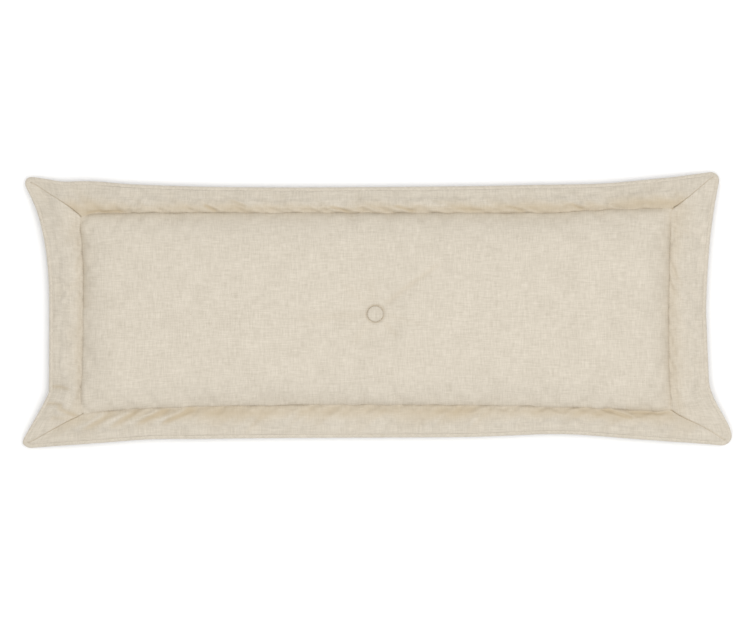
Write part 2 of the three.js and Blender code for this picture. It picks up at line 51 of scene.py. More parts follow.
# ---- The seat it lies on, the light and the camera ----
# A plain pale floor, a broad soft light straight over the pad, a weak one low at its side and pale
# surroundings, and a camera high above that looks straight down on the tufted face.
bpy.ops.mesh.primitive_plane_add(size=8, location=(0, 0, -0.5 * MM))
floor = bpy.context.object
floor.name = "floor"
floor_paint = bpy.data.materials.new("floor_paint")
floor_paint.use_nodes = True
floor_shader = floor_paint.node_tree.nodes["Principled BSDF"]
floor_shader.inputs["Base Color"].default_value = (0.97, 0.97, 0.97, 1)
floor_shader.inputs["Roughness"].default_value = 0.9
floor.data.materials.append(floor_paint)


def soft_light(name, size, watts, place):
    data = bpy.data.lights.new(name, "AREA")
    data.shape = "SQUARE"
    data.size = size
    data.energy = watts
    lamp = bpy.data.objects.new(name, data)
    bpy.context.scene.collection.objects.link(lamp)
    lamp.location = place
    lamp.rotation_euler = (-Vector(place)).to_track_quat("-Z", "Y").to_euler()


soft_light("overhead", size=2.0, watts=40, place=(0.1, -0.12, 2.6))
soft_light("low_side", size=1.2, watts=2, place=(1.9, -0.3, 1.3))

world = bpy.data.worlds.new("studio")
bpy.context.scene.world = world
world.use_nodes = True
world.node_tree.nodes["Background"].inputs["Color"].default_value = (1, 1, 1, 1)
world.node_tree.nodes["Background"].inputs["Strength"].default_value = 0.74
bpy.context.scene.view_settings.view_transform = "Standard"

LENS = 200 * MM
SENSOR = 36 * MM
VIEW_WIDTH = 971.6 * MM  # all that the camera takes in across, at the level of the hem
HEM_LEVEL = 14 * MM
camera_data = bpy.data.cameras.new("camera")
camera_data.lens = LENS / MM
camera_data.sensor_width = SENSOR / MM
camera = bpy.data.objects.new("camera", camera_data)
bpy.context.scene.collection.objects.link(camera)
camera.location = (-1.9 * MM, -3.9 * MM, VIEW_WIDTH * LENS / SENSOR + HEM_LEVEL)
bpy.context.scene.camera = camera

# ---- The filled shape ----
# Every cloth is worked out on the pad's flat pattern and then placed where the filling takes it. The
# sides draw in between the corners, the panel swells, and the border droops from its seam to the hem.
HALF = np.array([461.5, 180.5]) * MM  # the flat pattern, to its piping
PANEL = np.array([381, 127]) * MM  # the centre panel, to its seam
BORDER = HALF - PANEL
CORNER = 16 * MM  # the radius of the hem's corners
PIPE = 6 * MM  # across the piping
TURNING = 8 * MM  # of the piping's raw edges, inside the border
HEM = PIPE + TURNING + 1 * MM  # the stiff edge, which moves without stretching
CLOTH = 0.8 * MM
GAP = 0.35 * MM  # left between neighbouring layers
SEAM = 30 * MM  # the level of the seam round the panel
BACK_SEAM = SEAM - 1.5 * CLOTH - GAP
EDGE_RISE = 17 * MM  # of the panel over its seam, once its edge has rolled over
SHOULDER = 44 * MM  # how far in that roll goes
CROWN = 15 * MM
FLANK = 44 * MM  # how far in the back slopes down from its seam to the seat
TUFT = [sum(ends) / 2 for ends in zip(*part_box("button_front_cover"))][:2]
DIMPLE = 11 * MM
BACK_DIMPLE = 10.5 * MM
DROOP = 14 * MM  # of the hem below the seam, and at the corners a little more
EAR_DROOP = 5 * MM
PUFF = 7 * MM
TURNING_ROOM = 1.9 * MM
DRAW_LEFT, DRAW_RIGHT_FRONT, DRAW_RIGHT_REAR = 38 * MM, 28 * MM, 21 * MM
DRAW_FRONT, DRAW_REAR = 13.5 * MM, 18 * MM
FAR = 1000.0  # a distance that is never the nearest


def smooth(x):
    x = np.clip(x, 0, 1)
    return x * x * (3 - 2 * x)


def between(a, b, share):
    return a + (b - a) * share


def bell(distance, width):
    """1 in the middle and next to nothing two widths away."""
    return np.exp(-((distance / width) ** 2))


def wander(x, pitch, seed):
    """Smooth noise from -1 to 1 along x, with its swings about pitch apart."""
    knots = np.random.default_rng(seed).uniform(-1, 1, 512)
    at = np.asarray(x) / pitch + 200
    whole = np.floor(at).astype(int)
    share = smooth(at - whole)
    return knots[whole % 512] * (1 - share) + knots[(whole + 1) % 512] * share


def ripple(x, y, pitch, seed):
    """Smooth noise from -1 to 1 over a surface, with its swings about pitch apart."""
    knots = np.random.default_rng(seed).uniform(-1, 1, (128, 128))
    across, along = np.asarray(x) / pitch + 64, np.asarray(y) / pitch + 64
    i, j = np.floor(across).astype(int), np.floor(along).astype(int)
    a, b = smooth(across - i), smooth(along - j)
    i, j, k, m = i % 128, j % 128, (i + 1) % 128, (j + 1) % 128
    low = knots[i, j] * (1 - a) + knots[k, j] * a
    high = knots[i, m] * (1 - a) + knots[k, m] * a
    return low * (1 - b) + high * b


def border_shares(u, v):
    """How far across the border a point is, from the seam (0) to the hem (1), along X and along Y."""
    return [np.clip((np.abs(p) - inner) / width, 0, 1) for p, inner, width in zip((u, v), PANEL, BORDER)]


def hem_draw(u, v, along, across):
    """How far the hem draws in beside a point. along and across are its shares of the half sizes."""
    # The ends: the front halves run straight and then flare to their corners, the rear ones curve evenly.
    flare_left = 0.05 * across**2 + 0.95 * np.clip((across - 0.59) / 0.37, 0, 1) ** 1.1
    flare_right = 0.05 * across**2 + 0.95 * smooth((across - 0.5) / 0.45)
    left = DRAW_LEFT * (1 - np.where(v < 0, np.minimum(flare_left, 1), across**2.5))
    right_front = DRAW_RIGHT_FRONT * (1 - np.minimum(flare_right, 1))
    right_rear = DRAW_RIGHT_REAR * (1 - across**2.6) + 7 * MM * (1 - across) ** 2
    draw_x = np.where(u < 0, left, np.where(v < 0, right_front, right_rear))
    # The long sides: the front one is the flatter, and it bites in twice.
    bites = 4.8 * MM * bell(u - 240 * MM, 80 * MM) + 1.5 * MM * bell(u + 290 * MM, 45 * MM)
    front = DRAW_FRONT * (1 - along**3.6) + bites
    rear = DRAW_REAR * (1 - along**3) + 2 * MM * bell(u - 290 * MM, 60 * MM)
    return draw_x, np.where(v < 0, front, rear)


def seam_creep(u, v, zipped):
    """How far the seam round the panel has crept: it bows in along the front, and out to its corners."""
    s, t = np.clip(u / PANEL[0], -1, 1), np.clip(v / PANEL[1], -1, 1)
    front = (4.2 - 9.2 * np.abs(s) ** 2.6) * MM
    rear = (-1.4 + 6.0 * smooth((s - 0.5) / 0.45) - 2.0 * smooth((-s - 0.8) / 0.2)) * MM
    reached = np.where((v < 0) & zipped, smooth((np.abs(v) - 110 * MM) / (17 * MM)), np.abs(t))
    ends = np.where(u < 0, 2.0 - 6.0 * np.abs(t) ** 3, -3.0 + 4.5 * np.abs(t) ** 3) * MM
    return np.abs(s) * ends, reached * np.where(v < 0, front, rear)


def corner_slip(u, v, zipped):
    """How the seam's corners are rounded off, and the front left one has slipped along its mitre."""
    to_corner = np.hypot(np.abs(u) - PANEL[0], np.abs(v) - PANEL[1])
    cut = np.where(u * v > 0, 1.0, 3.2) * MM * bell(to_corner, 11 * MM)
    slipped = (u < 0) & (v < 0) & (not zipped)
    return (-np.sign(u) * cut + slipped * 4.5 * MM * bell(to_corner, 15 * MM),
            -np.sign(v) * cut - slipped * 3 * MM * bell(to_corner, 38 * MM))


def drawn_in(u, v, zipped=False):
    """Where a point of the flat pattern lies, seen from above. The zipped back keeps its zip straight."""
    x, y = np.abs(u), np.abs(v)
    past_x, past_y = x - (HALF[0] - CORNER), y - (HALF[1] - CORNER)
    in_corner = (past_x > 0) & (past_y > 0)
    square = np.where(in_corner, np.maximum(past_x, past_y), 1)
    round_off = np.where(in_corner, square / np.maximum(np.hypot(past_x, past_y), 1e-9) - 1, 0)
    x, y = x + past_x * round_off, y + past_y * round_off
    pull_x = np.clip((x - PANEL[0]) / (BORDER[0] - HEM), 0, 1)
    pull_y = np.clip((y - PANEL[1]) / (BORDER[1] - HEM), 0, 1)
    draw_x, draw_y = hem_draw(u, v, np.abs(x) / HALF[0], np.abs(y) / HALF[1])
    # The whole pad is skewed a little by the way its corners were filled.
    along, across = u / HALF[0], v / HALF[1]
    toe_x = np.where(u > 0, -14 * MM * (across + 1) / 2, 0)
    toe_y = np.where(v > 0, -6.5 * MM * (1 - along) / 2, 3.5 * MM * (1 + along) / 2)
    x_out = np.sign(u) * (x - pull_x * draw_x) + pull_x * toe_x
    y_out = np.sign(v) * (y - pull_y * draw_y) + pull_y * toe_y
    keep = (1 - pull_x) * (1 - pull_y)
    creep_x, creep_y = seam_creep(u, v, zipped)
    slip_x, slip_y = corner_slip(u, v, zipped)
    x_out, y_out = x_out + keep * creep_x + slip_x, y_out + keep * creep_y + slip_y
    # The hem waves beside the rear left mitre.
    wave = bell(u + 408 * MM, 20 * MM) - 0.5 * bell(u + 360 * MM, 24 * MM)
    y_out = y_out - 2.2 * MM * wave * pull_y * (v > 0)
    # The seam is a little scalloped where the stitches have gathered it.
    long_side = shared_y(u, v)
    off_seam = np.minimum(np.abs(np.abs(u) - PANEL[0]) + FAR * long_side,
                          np.abs(np.abs(v) - PANEL[1]) + FAR * ~long_side)
    scallop = 0.8 * MM * wander(np.where(long_side, u, v + 2), 15 * MM, 11) * bell(off_seam, 12 * MM)
    return x_out + np.where(long_side, 0, scallop), y_out + np.where(long_side, scallop, 0)


def shared_y(u, v):
    """Whether the nearest side of the pad is one of its long ones."""
    return (HALF[1] - np.abs(v)) / BORDER[1] < (HALF[0] - np.abs(u)) / BORDER[0]


def tuft_share(u, v):
    """A dimple's depth as a share: all of it under the button, and none of it a hand's breadth away."""
    away = np.hypot(u - TUFT[0], v - TUFT[1])
    flat = 1 - smooth((away - 20 * MM) / (36 * MM))
    return 0.75 * flat + 0.25 * bell(away, 62 * MM) * smooth((110 * MM - away) / (50 * MM))


def inset(u, v):
    """How far in from the panel's seam a point is, along X and along Y."""
    return [np.maximum(inner - np.abs(p), 0) for p, inner in zip((u, v), PANEL)]


def panel_top(u, v):
    """The middle of the centre panel's cloth: a roll up from the seam, a crown and the dimple."""
    roll = [1 - (1 - np.clip(d / SHOULDER, 0, 1)) ** 2 for d in inset(u, v)]
    shoulder = (roll[0] * roll[1]) ** 0.85
    arch = [np.cos(np.pi / 2 * np.clip(p / inner, -1, 1)) for p, inner in zip((u, v), PANEL)]
    uneven = 0.8 * ripple(u, v, 75 * MM, 3) + 0.3 * ripple(u, v, 33 * MM, 4)
    away = np.hypot(u - TUFT[0], v - TUFT[1])
    fade = smooth(np.minimum(*inset(u, v)) / (20 * MM)) * smooth((away - 20 * MM) / (30 * MM))
    # The cloth stands up round the button's rim.
    collar = 2.4 * MM * smooth((away - 10.8 * MM) / (4.5 * MM)) * bell(away - 15 * MM, 15 * MM)
    collar = np.where(away > 10.6 * MM, collar, 0)
    filled = SEAM + EDGE_RISE * shoulder + CROWN * arch[0] * arch[1]
    return filled - DIMPLE * tuft_share(u, v) + fade * uneven * MM + collar


def panel_bottom(u, v):
    """The outer face of the back under the panel: sloping flanks, a flat middle and the back's dimple."""
    flank = 1 - np.minimum(*inset(u, v)) / FLANK
    return BACK_SEAM * np.clip(flank, 0, 1) + BACK_DIMPLE * tuft_share(u, v)


def border_middle(u, v):
    share_x, share_y = border_shares(u, v)
    droop = DROOP * (1 - 0.25 * smooth(2 * (share_x - share_y))) * np.maximum(share_x, share_y) ** 1.4
    return SEAM - (CLOTH + GAP) / 2 - droop - EAR_DROOP * share_x * share_y


def border_half(u, v):
    """Half the space between the border's two cloths, which holds its padding and the piping's turnings."""
    share = np.maximum(*border_shares(u, v))
    filled = (1 - (np.abs(u) / HALF[0]) ** 8) * (1 - (np.abs(v) / HALF[1]) ** 7)
    puff = PUFF * np.sqrt(np.maximum(filled, 0)) * np.sin(np.pi * np.clip(share, 0, 1)) ** 1.1
    return GAP / 2 + (TURNING_ROOM - GAP / 2) * np.clip(4 * share, 0, 1) + puff


def crease(u, v, start, end, width, depth):
    """A fold between two points, in mm, that sinks by depth, or stands if it is negative."""
    start, end = np.array(start) * MM, np.array(end) * MM
    run = end - start
    length = np.linalg.norm(run)
    run = run / length
    along = ((u - start[0]) * run[0] + (v - start[1]) * run[1]) / length
    off = (u - start[0]) * -run[1] + (v - start[1]) * run[0]
    faded = smooth(along / 0.3 + 0.3) * smooth((1 - along) / 0.3 + 0.3)
    return depth * MM * bell(off, width * MM) * faded


def puckers(u, v):
    """How deep the gathers and folds of the border's cloth lie."""
    share_x, share_y = border_shares(u, v)
    share = np.maximum(share_x, share_y)
    long_side = shared_y(u, v)
    off = share * np.where(long_side, BORDER[1], BORDER[0])
    run = np.where(long_side, u, v + 2 + np.sign(u)) + np.sign(v) * 0.31
    near = (1 - np.exp(-off / (2.5 * MM))) * bell(off, 16 * MM)
    far = smooth(share / 0.25) * smooth((1 - share) / 0.25)
    gathers = 1.5 * wander(run + 0.9 * off, 13 * MM, 21) + 0.7 * wander(run + 0.4 * off, 6.5 * MM, 22)
    gathers = gathers * np.where(long_side, 1, 0.45)
    rolls = 0.9 * ripple(u, v, 26 * MM, 23) + 0.35 * ripple(u, v, 11 * MM, 24)
    return (near * gathers + far * rolls) * MM


# Single folds where the cover has slipped and creased, then those that run out of the button's dimple,
# the longest towards the rear right corner: start and end, width and depth in mm.
SLIPS = (
    ((290, -128), (330, -146), 3.5, 1.8), ((322, -131), (384, -132), 3.0, 1.6),
    ((-462, -99), (-416, -100), 2.0, 1.8), ((-462, -121), (-424, -121), 2.0, 1.8),
    ((-436, -124), (-388, -131), 3.4, 2.0), ((-440, -140), (-396, -137), 4.0, 1.2),
    ((-222, 148), (-204, 128), 3.4, 1.7), ((-60, 144), (-34, 128), 3.4, 1.6),
    ((22, 147), (50, 128), 3.4, 1.8), ((-188, 160), (-166, 144), 2.8, 1.1),
    ((70, 160), (86, 150), 2.6, 1.0), ((168, 146), (190, 128), 3.2, 1.3),
    ((250, 147), (268, 128), 3.2, 1.2), ((-374, 130), (-322, 130), 3.2, 2.2))
RAYS = (
    ((8, 6), (84, 62), 3.6, 1.5), ((6, 14), (70, 66), 5.0, -0.8), ((8, -14), (28, -36), 3.0, 1.2),
    ((-14, -6), (-98, -12), 5.0, 0.8), ((-10, 6), (-44, 34), 4.0, 0.7), ((-8, -16), (-30, -44), 4.0, 0.7),
    ((10, -6), (60, -20), 4.5, 0.6), ((-2, 8), (-8, 44), 4.0, 0.5))


def folds(u, v):
    depth = sum(crease(u, v, *slip) for slip in SLIPS)
    for k in range(4):  # the fan at the front left
        foot = -232 - 34 * k
        depth = depth + crease(u, v, (foot, -128), (foot - 46, -158), 5.0, 2.4 - 0.3 * k)
        depth = depth - crease(u, v, (foot - 12, -130), (foot - 56, -158), 5.0, 1.3)
    return depth


def tuft_folds(u, v):
    return sum(crease(u, v, *ray) for ray in RAYS)


# ---- How the filling strains the cover ----
# Each face of the cover, cut a little larger than its seams, is blown out against them by a cloth
# simulation. What that does to the smooth shape, gathers and all, is added to every cloth afterwards.
COVER_STEP = 6.5 * MM
SLACK = 0.03  # how much larger the cloth is cut
TRAVEL = 5 * MM  # the furthest that it may move
HELD_TUFT = 13 * MM  # round the button, and either side of the zip's middle
HELD_ZIP = (325 * MM, 18 * MM)
BLOW_STEPS = 20


def cover_lines(axis):
    panel = np.linspace(-PANEL[axis], PANEL[axis], int(round(2 * PANEL[axis] / COVER_STEP)) + 1)
    side = np.linspace(PANEL[axis], HALF[axis] - PIPE, int(round(BORDER[axis] / COVER_STEP)) + 1)[1:]
    return np.concatenate([-side[::-1], panel, side])


COVER_LINES = [cover_lines(0), cover_lines(1)]


def mesh_points(piece):
    """A piece's points, a row of X, Y and Z for each."""
    points = np.empty(len(piece.data.vertices) * 3)
    piece.data.vertices.foreach_get("co", points)
    return points.reshape(-1, 3)


def move_points(piece, points):
    piece.data.vertices.foreach_set("co", np.ascontiguousarray(points).ravel())
    piece.data.update()


def flat_grid(name, shape):
    """A flat grid, from -1 to 1, with a point for each crossing of an array of that shape."""
    bpy.ops.object.select_all(action="DESELECT")
    bpy.ops.mesh.primitive_grid_add(x_subdivisions=shape[0] - 1, y_subdivisions=shape[1] - 1, size=2)
    grid = bpy.context.object
    grid.name = name
    return grid


def crossings(grid, shape):
    """Which row and column of the array each point of a flat grid stands for."""
    points = mesh_points(grid)
    return [np.rint((points[:, k] + 1) / 2 * (shape[k] - 1)).astype(int) for k in (0, 1)]


def strained(name, surface, outward):
    """The travel of a face of the cover, at each crossing of its grid, once it has been blown out."""
    u, v = np.meshgrid(*COVER_LINES, indexing="ij")
    cover = flat_grid(name, u.shape)
    i, j = crossings(cover, u.shape)
    before = surface(u, v)
    move_points(cover, before[i, j])
    if outward < 0:
        cover.data.flip_normals()
    on_seam = ((np.abs(np.abs(u) - PANEL[0]) < 1e-5) & (np.abs(v) <= PANEL[1] + 1e-5)
               | (np.abs(np.abs(v) - PANEL[1]) < 1e-5) & (np.abs(u) <= PANEL[0] + 1e-5))
    at_hem = (np.abs(u) > HALF[0] - 2 * PIPE) | (np.abs(v) > HALF[1] - 2 * PIPE)
    at_tuft = np.hypot(u - TUFT[0], v - TUFT[1]) < HELD_TUFT
    at_zip = (outward < 0) & (np.abs(v + PANEL[1] - FLANK / 2) < HELD_ZIP[1]) & (np.abs(u) < HELD_ZIP[0])
    held = (on_seam | at_hem | at_tuft | at_zip)[i, j]
    pins = cover.vertex_groups.new(name="held")
    pins.add([int(k) for k in np.flatnonzero(held)], 1.0, "REPLACE")
    cloth = cover.modifiers.new("cloth", "CLOTH")
    cloth.settings.quality = 6
    cloth.settings.mass = 0.25
    cloth.settings.tension_stiffness = 25
    cloth.settings.compression_stiffness = 15
    cloth.settings.shear_stiffness = 8
    cloth.settings.bending_stiffness = 0.35
    cloth.settings.vertex_group_mass = "held"
    cloth.settings.use_pressure = True
    cloth.settings.uniform_pressure_force = 4
    cloth.settings.shrink_min = -SLACK
    cloth.settings.shrink_max = -SLACK
    cloth.settings.effector_weights.gravity = 0
    cloth.collision_settings.use_collision = False
    for step in range(BLOW_STEPS):
        bpy.context.scene.frame_set(1 + step)
    bpy.ops.object.modifier_apply(modifier="cloth")
    bpy.context.scene.frame_set(1)
    travel = np.zeros_like(before)
    travel[i, j] = mesh_points(cover) - before[i, j]
    bpy.data.objects.remove(cover)
    length = np.linalg.norm(travel, axis=-1, keepdims=True)
    return travel * np.minimum(1, TRAVEL / np.maximum(length, 1e-9))


def spline_weight(distance):
    near = 1.5 * distance**3 - 2.5 * distance**2 + 1
    return np.where(distance < 1, near, -0.5 * distance**3 + 2.5 * distance**2 - 4 * distance + 2)


def read_travel(travel, u, v):
    """The travel between a grid's crossings, read through a smooth spline."""
    at = [np.interp(p, lines, np.arange(len(lines))) for p, lines in zip((u, v), COVER_LINES)]
    whole = [np.floor(a).astype(int) for a in at]
    total = 0
    for di in range(-1, 3):
        for dj in range(-1, 3):
            near = [whole[0] + di, whole[1] + dj]
            weight = spline_weight(np.abs(at[0] - near[0])) * spline_weight(np.abs(at[1] - near[1]))
            i, j = [np.clip(k, 0, count - 1) for k, count in zip(near, travel.shape)]
            total = total + weight[..., None] * travel[i, j]
    return total


def front_shape(u, v):
    """The front of the cover, at the middle of its cloth, before it is strained."""
    in_border = np.maximum(*border_shares(u, v)) > 0
    border = border_middle(u, v) + border_half(u, v) + CLOTH / 2
    z = np.where(in_border, border - puckers(u, v), panel_top(u, v) - tuft_folds(u, v)) - folds(u, v)
    return np.stack([*drawn_in(u, v), z], axis=-1)


def back_shape(u, v):
    """The back of the cover, at the middle of its cloth, before it is strained."""
    in_border = np.maximum(*border_shares(u, v)) > 0
    border = border_middle(u, v) - border_half(u, v) - CLOTH / 2
    z = np.where(in_border, border + 0.8 * puckers(-u, v), panel_bottom(u, v) + CLOTH / 2)
    return np.stack([*drawn_in(u, v, zipped=True), z], axis=-1)


def firmness(panel, border):
    """How much of the travel is kept: over the firm insert, the panel wrinkles less than the border."""
    u, v = np.meshgrid(*COVER_LINES, indexing="ij")
    into_panel = smooth(np.minimum(*inset(u, v)) / (30 * MM))
    return between(border, panel, into_panel)[..., None]


front_travel = firmness(0.22, 0.6) * strained("front_of_cover", front_shape, 1)
back_travel = firmness(0.3, 0.5) * strained("back_of_cover", back_shape, -1)


def front_face(u, v):
    return front_shape(u, v) + read_travel(front_travel, u, v)


def back_face(u, v):
    placed = back_shape(u, v) + read_travel(back_travel, u, v)
    placed[..., 2] = np.maximum(placed[..., 2], CLOTH / 2)  # it rests flat on the seat
    return placed


# ---- The cover's front: one centre panel ----
# Slubby natural linen, cut with its threads square to the pad. Filled, it stands well proud of the
# border, rolls down into the seam and sinks under the button.
TUCK = 0.2 * MM  # how far two cloths dip where they are seamed together
HALF_CLOTH = np.array([0, 0, CLOTH / 2])
BUTTON_SHADOW_RING = 10.5 * MM  # the radius of a ring of painted shadow round the button, where the cloth lies darkest
SMOOTH_ANGLE = math.radians(50)
NEEDLE = 2.6 * MM


def spaced(half, fine, coarse, edge):
    """Grid lines over a half size either way, fine within edge of the ends and coarse in the middle."""
    outer = half - np.linspace(0, edge, int(round(edge / fine)) + 1)
    inner = np.linspace(half - edge, 0, int(math.ceil((half - edge) / coarse)) + 1)[1:]
    side = np.concatenate([outer, inner])
    return np.concatenate([-side, side[-2::-1]])


def dip(distance, depth=TUCK, width=1.8 * MM):
    return depth * bell(distance, width)


def layer(name, upper, lower, cloth, painted_shade=None):
    """A closed sheet between two grids of points. cloth holds each point's place on the flat cloth."""
    piece = flat_grid(name, upper.shape)
    bpy.ops.object.mode_set(mode="EDIT")
    bpy.ops.mesh.select_all(action="SELECT")
    bpy.ops.mesh.extrude_region_move(TRANSFORM_OT_translate={"value": (0, 0, 1)})
    bpy.ops.object.mode_set(mode="OBJECT")
    i, j = crossings(piece, upper.shape)
    is_upper = mesh_points(piece)[:, 2:] > 0.5
    carry(piece, cloth[i, j], None if painted_shade is None else painted_shade[i, j])
    move_points(piece, np.where(is_upper, upper[i, j], lower[i, j]))
    bpy.ops.object.shade_smooth_by_angle(angle=SMOOTH_ANGLE)
    return piece


def carry(piece, cloth, painted_shade=None):
    """Gives a piece's points their places on the flat cloth, and how much painted shade lies on each."""
    place = piece.data.attributes.new("cloth", "FLOAT_VECTOR", "POINT")
    place.data.foreach_set("vector", np.ascontiguousarray(cloth, dtype=np.float32).ravel())
    if painted_shade is not None:
        shade_tint = piece.data.attributes.new("painted_shade", "FLOAT", "POINT")
        shares = np.ascontiguousarray(np.clip(painted_shade, 0, 1), dtype=np.float32)
        shade_tint.data.foreach_set("value", shares.ravel())


def girth(levels, lines):
    """Distance along a profile, from its middle, given its levels at its grid lines."""
    run = np.concatenate([[0], np.cumsum(np.hypot(np.diff(levels), np.diff(lines)))])
    return run - run[len(run) // 2]


def on_cloth(across, along, number):
    """Places on the flat cloth. Each piece is cut from its own part of it."""
    return np.stack([across, along, 0 * across + 0.37 * number], axis=-1)


def fit(piece, material, slot, *nodes, body="pad"):
    piece.data.materials.append(material)
    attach(piece, body)
    if nodes:
        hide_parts(*nodes)


def cut_away(piece, tool):
    """Cuts a tool's shape out of a piece, and puts the tool away."""
    cut = piece.modifiers.new("cut", "BOOLEAN")
    cut.operation = "DIFFERENCE"
    cut.object = tool
    bpy.context.view_layer.objects.active = piece
    bpy.ops.object.modifier_apply(modifier="cut")
    bpy.data.objects.remove(tool)


def pierce(piece):
    """Cuts the hole that the tufting twine goes through."""
    bpy.ops.mesh.primitive_cylinder_add(vertices=20, radius=NEEDLE, depth=0.3, location=(*TUFT, 0.03))
    cut_away(piece, bpy.context.object)


columns, rows = [spaced(reach, fine=1.2 * MM, coarse=2.6 * MM, edge=20 * MM) for reach in PANEL]
u, v = np.meshgrid(columns, rows, indexing="ij")
to_seam = np.minimum(*inset(u, v))
middle = front_face(u, v)
middle[..., 2] -= dip(to_seam)
long_girth = girth(panel_top(columns, 0 * columns + 60 * MM), columns)
short_girth = girth(panel_top(0 * rows + 160 * MM, rows), rows)
flat_u, flat_v = np.meshgrid(long_girth, short_girth, indexing="ij")
# Painted shade: a darker tan beside the seam, stronger at the right end and along the rear, in the folds,
# and a ring of painted shadow round the button.
side_shade_strength = np.where((PANEL[0] - u < 60 * MM) | (v > 0), 0.4, 0.1)
shade_amount = side_shade_strength * np.exp(-to_seam / (8 * MM)) + 0.2 * (tuft_folds(u, v) + folds(u, v)) / (1.5 * MM)
shade_amount = shade_amount + 0.8 * bell(np.hypot(u - TUFT[0], v - TUFT[1]) - BUTTON_SHADOW_RING, 1.1 * MM)
front_panel = layer("front_panel_cloth", middle + HALF_CLOTH, middle - HALF_CLOTH,
                    on_cloth(flat_u, flat_v, 0), shade_amount)
pierce(front_panel)


def group_nodes(name, inputs, outputs):
    """An empty node group with its sockets, and its own input and output nodes."""
    group = bpy.data.node_groups.new(name, "ShaderNodeTree")
    for direction, sockets in (("INPUT", inputs), ("OUTPUT", outputs)):
        for socket, kind, default in sockets:
            made = group.interface.new_socket(socket, in_out=direction, socket_type=f"NodeSocket{kind}")
            if default is not None:
                made.default_value = default
    return group, group.nodes.new("NodeGroupInput"), group.nodes.new("NodeGroupOutput")


class Wiring:
    """Short ways to add and join nodes in one tree."""

    def __init__(self, tree):
        self.tree = tree

    def feed(self, socket, value):
        if isinstance(value, bpy.types.NodeSocket):
            self.tree.links.new(value, socket)
        else:
            socket.default_value = value

    def feed_all(self, node, **inputs):
        for key, value in inputs.items():
            self.feed(node.inputs[key.replace("_", " ")], value)
        return node

    def node(self, kind, settings=None, **inputs):
        made = self.tree.nodes.new(f"ShaderNode{kind}")
        for key, value in (settings or {}).items():
            setattr(made, key, value)
        return self.feed_all(made, **inputs)

    def group(self, group, **inputs):
        made = self.tree.nodes.new("ShaderNodeGroup")
        made.node_tree = group
        return self.feed_all(made, **inputs)

    def math(self, operation, *values):
        made = self.tree.nodes.new("ShaderNodeMath")
        made.operation = operation
        for socket, value in zip(made.inputs, values):
            self.feed(socket, value)
        return made.outputs[0]

    def spread(self, value, low, high, to_low=0.0, to_high=1.0):
        made = self.node("MapRange", Value=value)
        for key, number in (("From Min", low), ("From Max", high), ("To Min", to_low), ("To Max", to_high)):
            self.feed(made.inputs[key], number)
        return made.outputs[0]

    def mix(self, share, a, b):
        made = self.tree.nodes.new("ShaderNodeMix")
        made.data_type = "RGBA"
        for slot, value in ((0, share), (6, a), (7, b)):
            self.feed(made.inputs[slot], value)
        return made.outputs[2]

    def weighed(self, *terms):
        """The sum of some values, each times its own weight."""
        total, *others = [self.math("MULTIPLY", value, weight) for value, weight in terms]
        for other in others:
            total = self.math("ADD", total, other)
        return total

    def stretched(self, vector, scale):
        made = self.tree.nodes.new("ShaderNodeVectorMath")
        made.operation = "MULTIPLY"
        self.feed(made.inputs[0], vector)
        self.feed(made.inputs[1], scale)
        return made.outputs[0]

    def noise(self, vector, scale, detail=2.0):
        return self.node("TexNoise", Vector=vector, Scale=scale, Detail=detail).outputs["Fac"]

    def drawn_noise(self, vector, scale, detail, low, high):
        """Noise drawn out along one direction, with its middle from low to high spread over 0 to 1."""
        return self.spread(self.noise(self.stretched(vector, scale), 1.0, detail), low, high)

    def bump(self, height, strength, distance):
        made = self.node("Bump", Strength=strength, Distance=distance, Height=height)
        return made.outputs["Normal"]

    def object_place(self):
        return self.node("TexCoord").outputs["Object"]


def woven_cloth():
    """A plain weave of uneven threads: how light each spot is, how high it stands, and its flecks."""
    group, given, out = group_nodes(
        "woven_cloth",
        [("Cloth", "Vector", None), ("Thread", "Float", 0.62 * MM), ("Slub", "Float", 1.0)],
        [("Tone", "Float", None), ("Height", "Float", None), ("Fleck", "Float", None)])
    w = Wiring(group)
    place, thread = given.outputs["Cloth"], given.outputs["Thread"]
    split = w.node("SeparateXYZ", Vector=place)
    # Each thread wavers a little from straight.
    sway = w.math("MULTIPLY", w.noise(place, 90.0, 1.0), 0.9 * MM)
    waves = []
    for direction in (0, 1):
        turns = w.math("MULTIPLY", w.math("ADD", split.outputs[direction], sway), math.pi)
        waves.append(w.math("SINE", w.math("DIVIDE", turns, thread)))
    over = w.math("MULTIPLY", *waves)
    # Slubs: thick places, drawn out along the threads of each direction.
    slubs = [(w.drawn_noise(place, (*scale, 1.0), 2.0, 0.34, 0.68), weight)
             for scale, weight in (((80, 760), 1), ((760, 80), 1), ((34, 300), 0.45), ((300, 34), 0.45))]
    slub = w.math("MULTIPLY", w.math("MULTIPLY", w.weighed(*slubs), 0.345), given.outputs["Slub"])
    fuzz = w.noise(place, 1300.0)
    cloud = w.noise(place, 30.0, 3.0)
    # Flecks of darker flax, short and along the threads, a few to each hand's breadth.
    spots = w.node("TexVoronoi", {"feature": "F1"}, Vector=w.stretched(place, (1.0, 1.7, 1.0)), Scale=75.0)
    chosen = w.math("GREATER_THAN", w.node("SeparateColor", Color=spots.outputs["Color"]).outputs[0], 0.94)
    near = w.spread(spots.outputs["Distance"], 0.02, 0.075, 1.0, 0.0)
    w.feed_all(out, Tone=w.weighed((slub, 0.62), (fuzz, 0.12), (cloud, 0.26)),
               Height=w.weighed((over, 0.25), (slub, 0.55), (fuzz, 0.2)),
               Fleck=w.math("MULTIPLY", near, chosen))
    return group


def new_material(name):
    material = bpy.data.materials.new(name)
    material.use_nodes = True
    return material, Wiring(material.node_tree), material.node_tree.nodes["Principled BSDF"]


weave = woven_cloth()


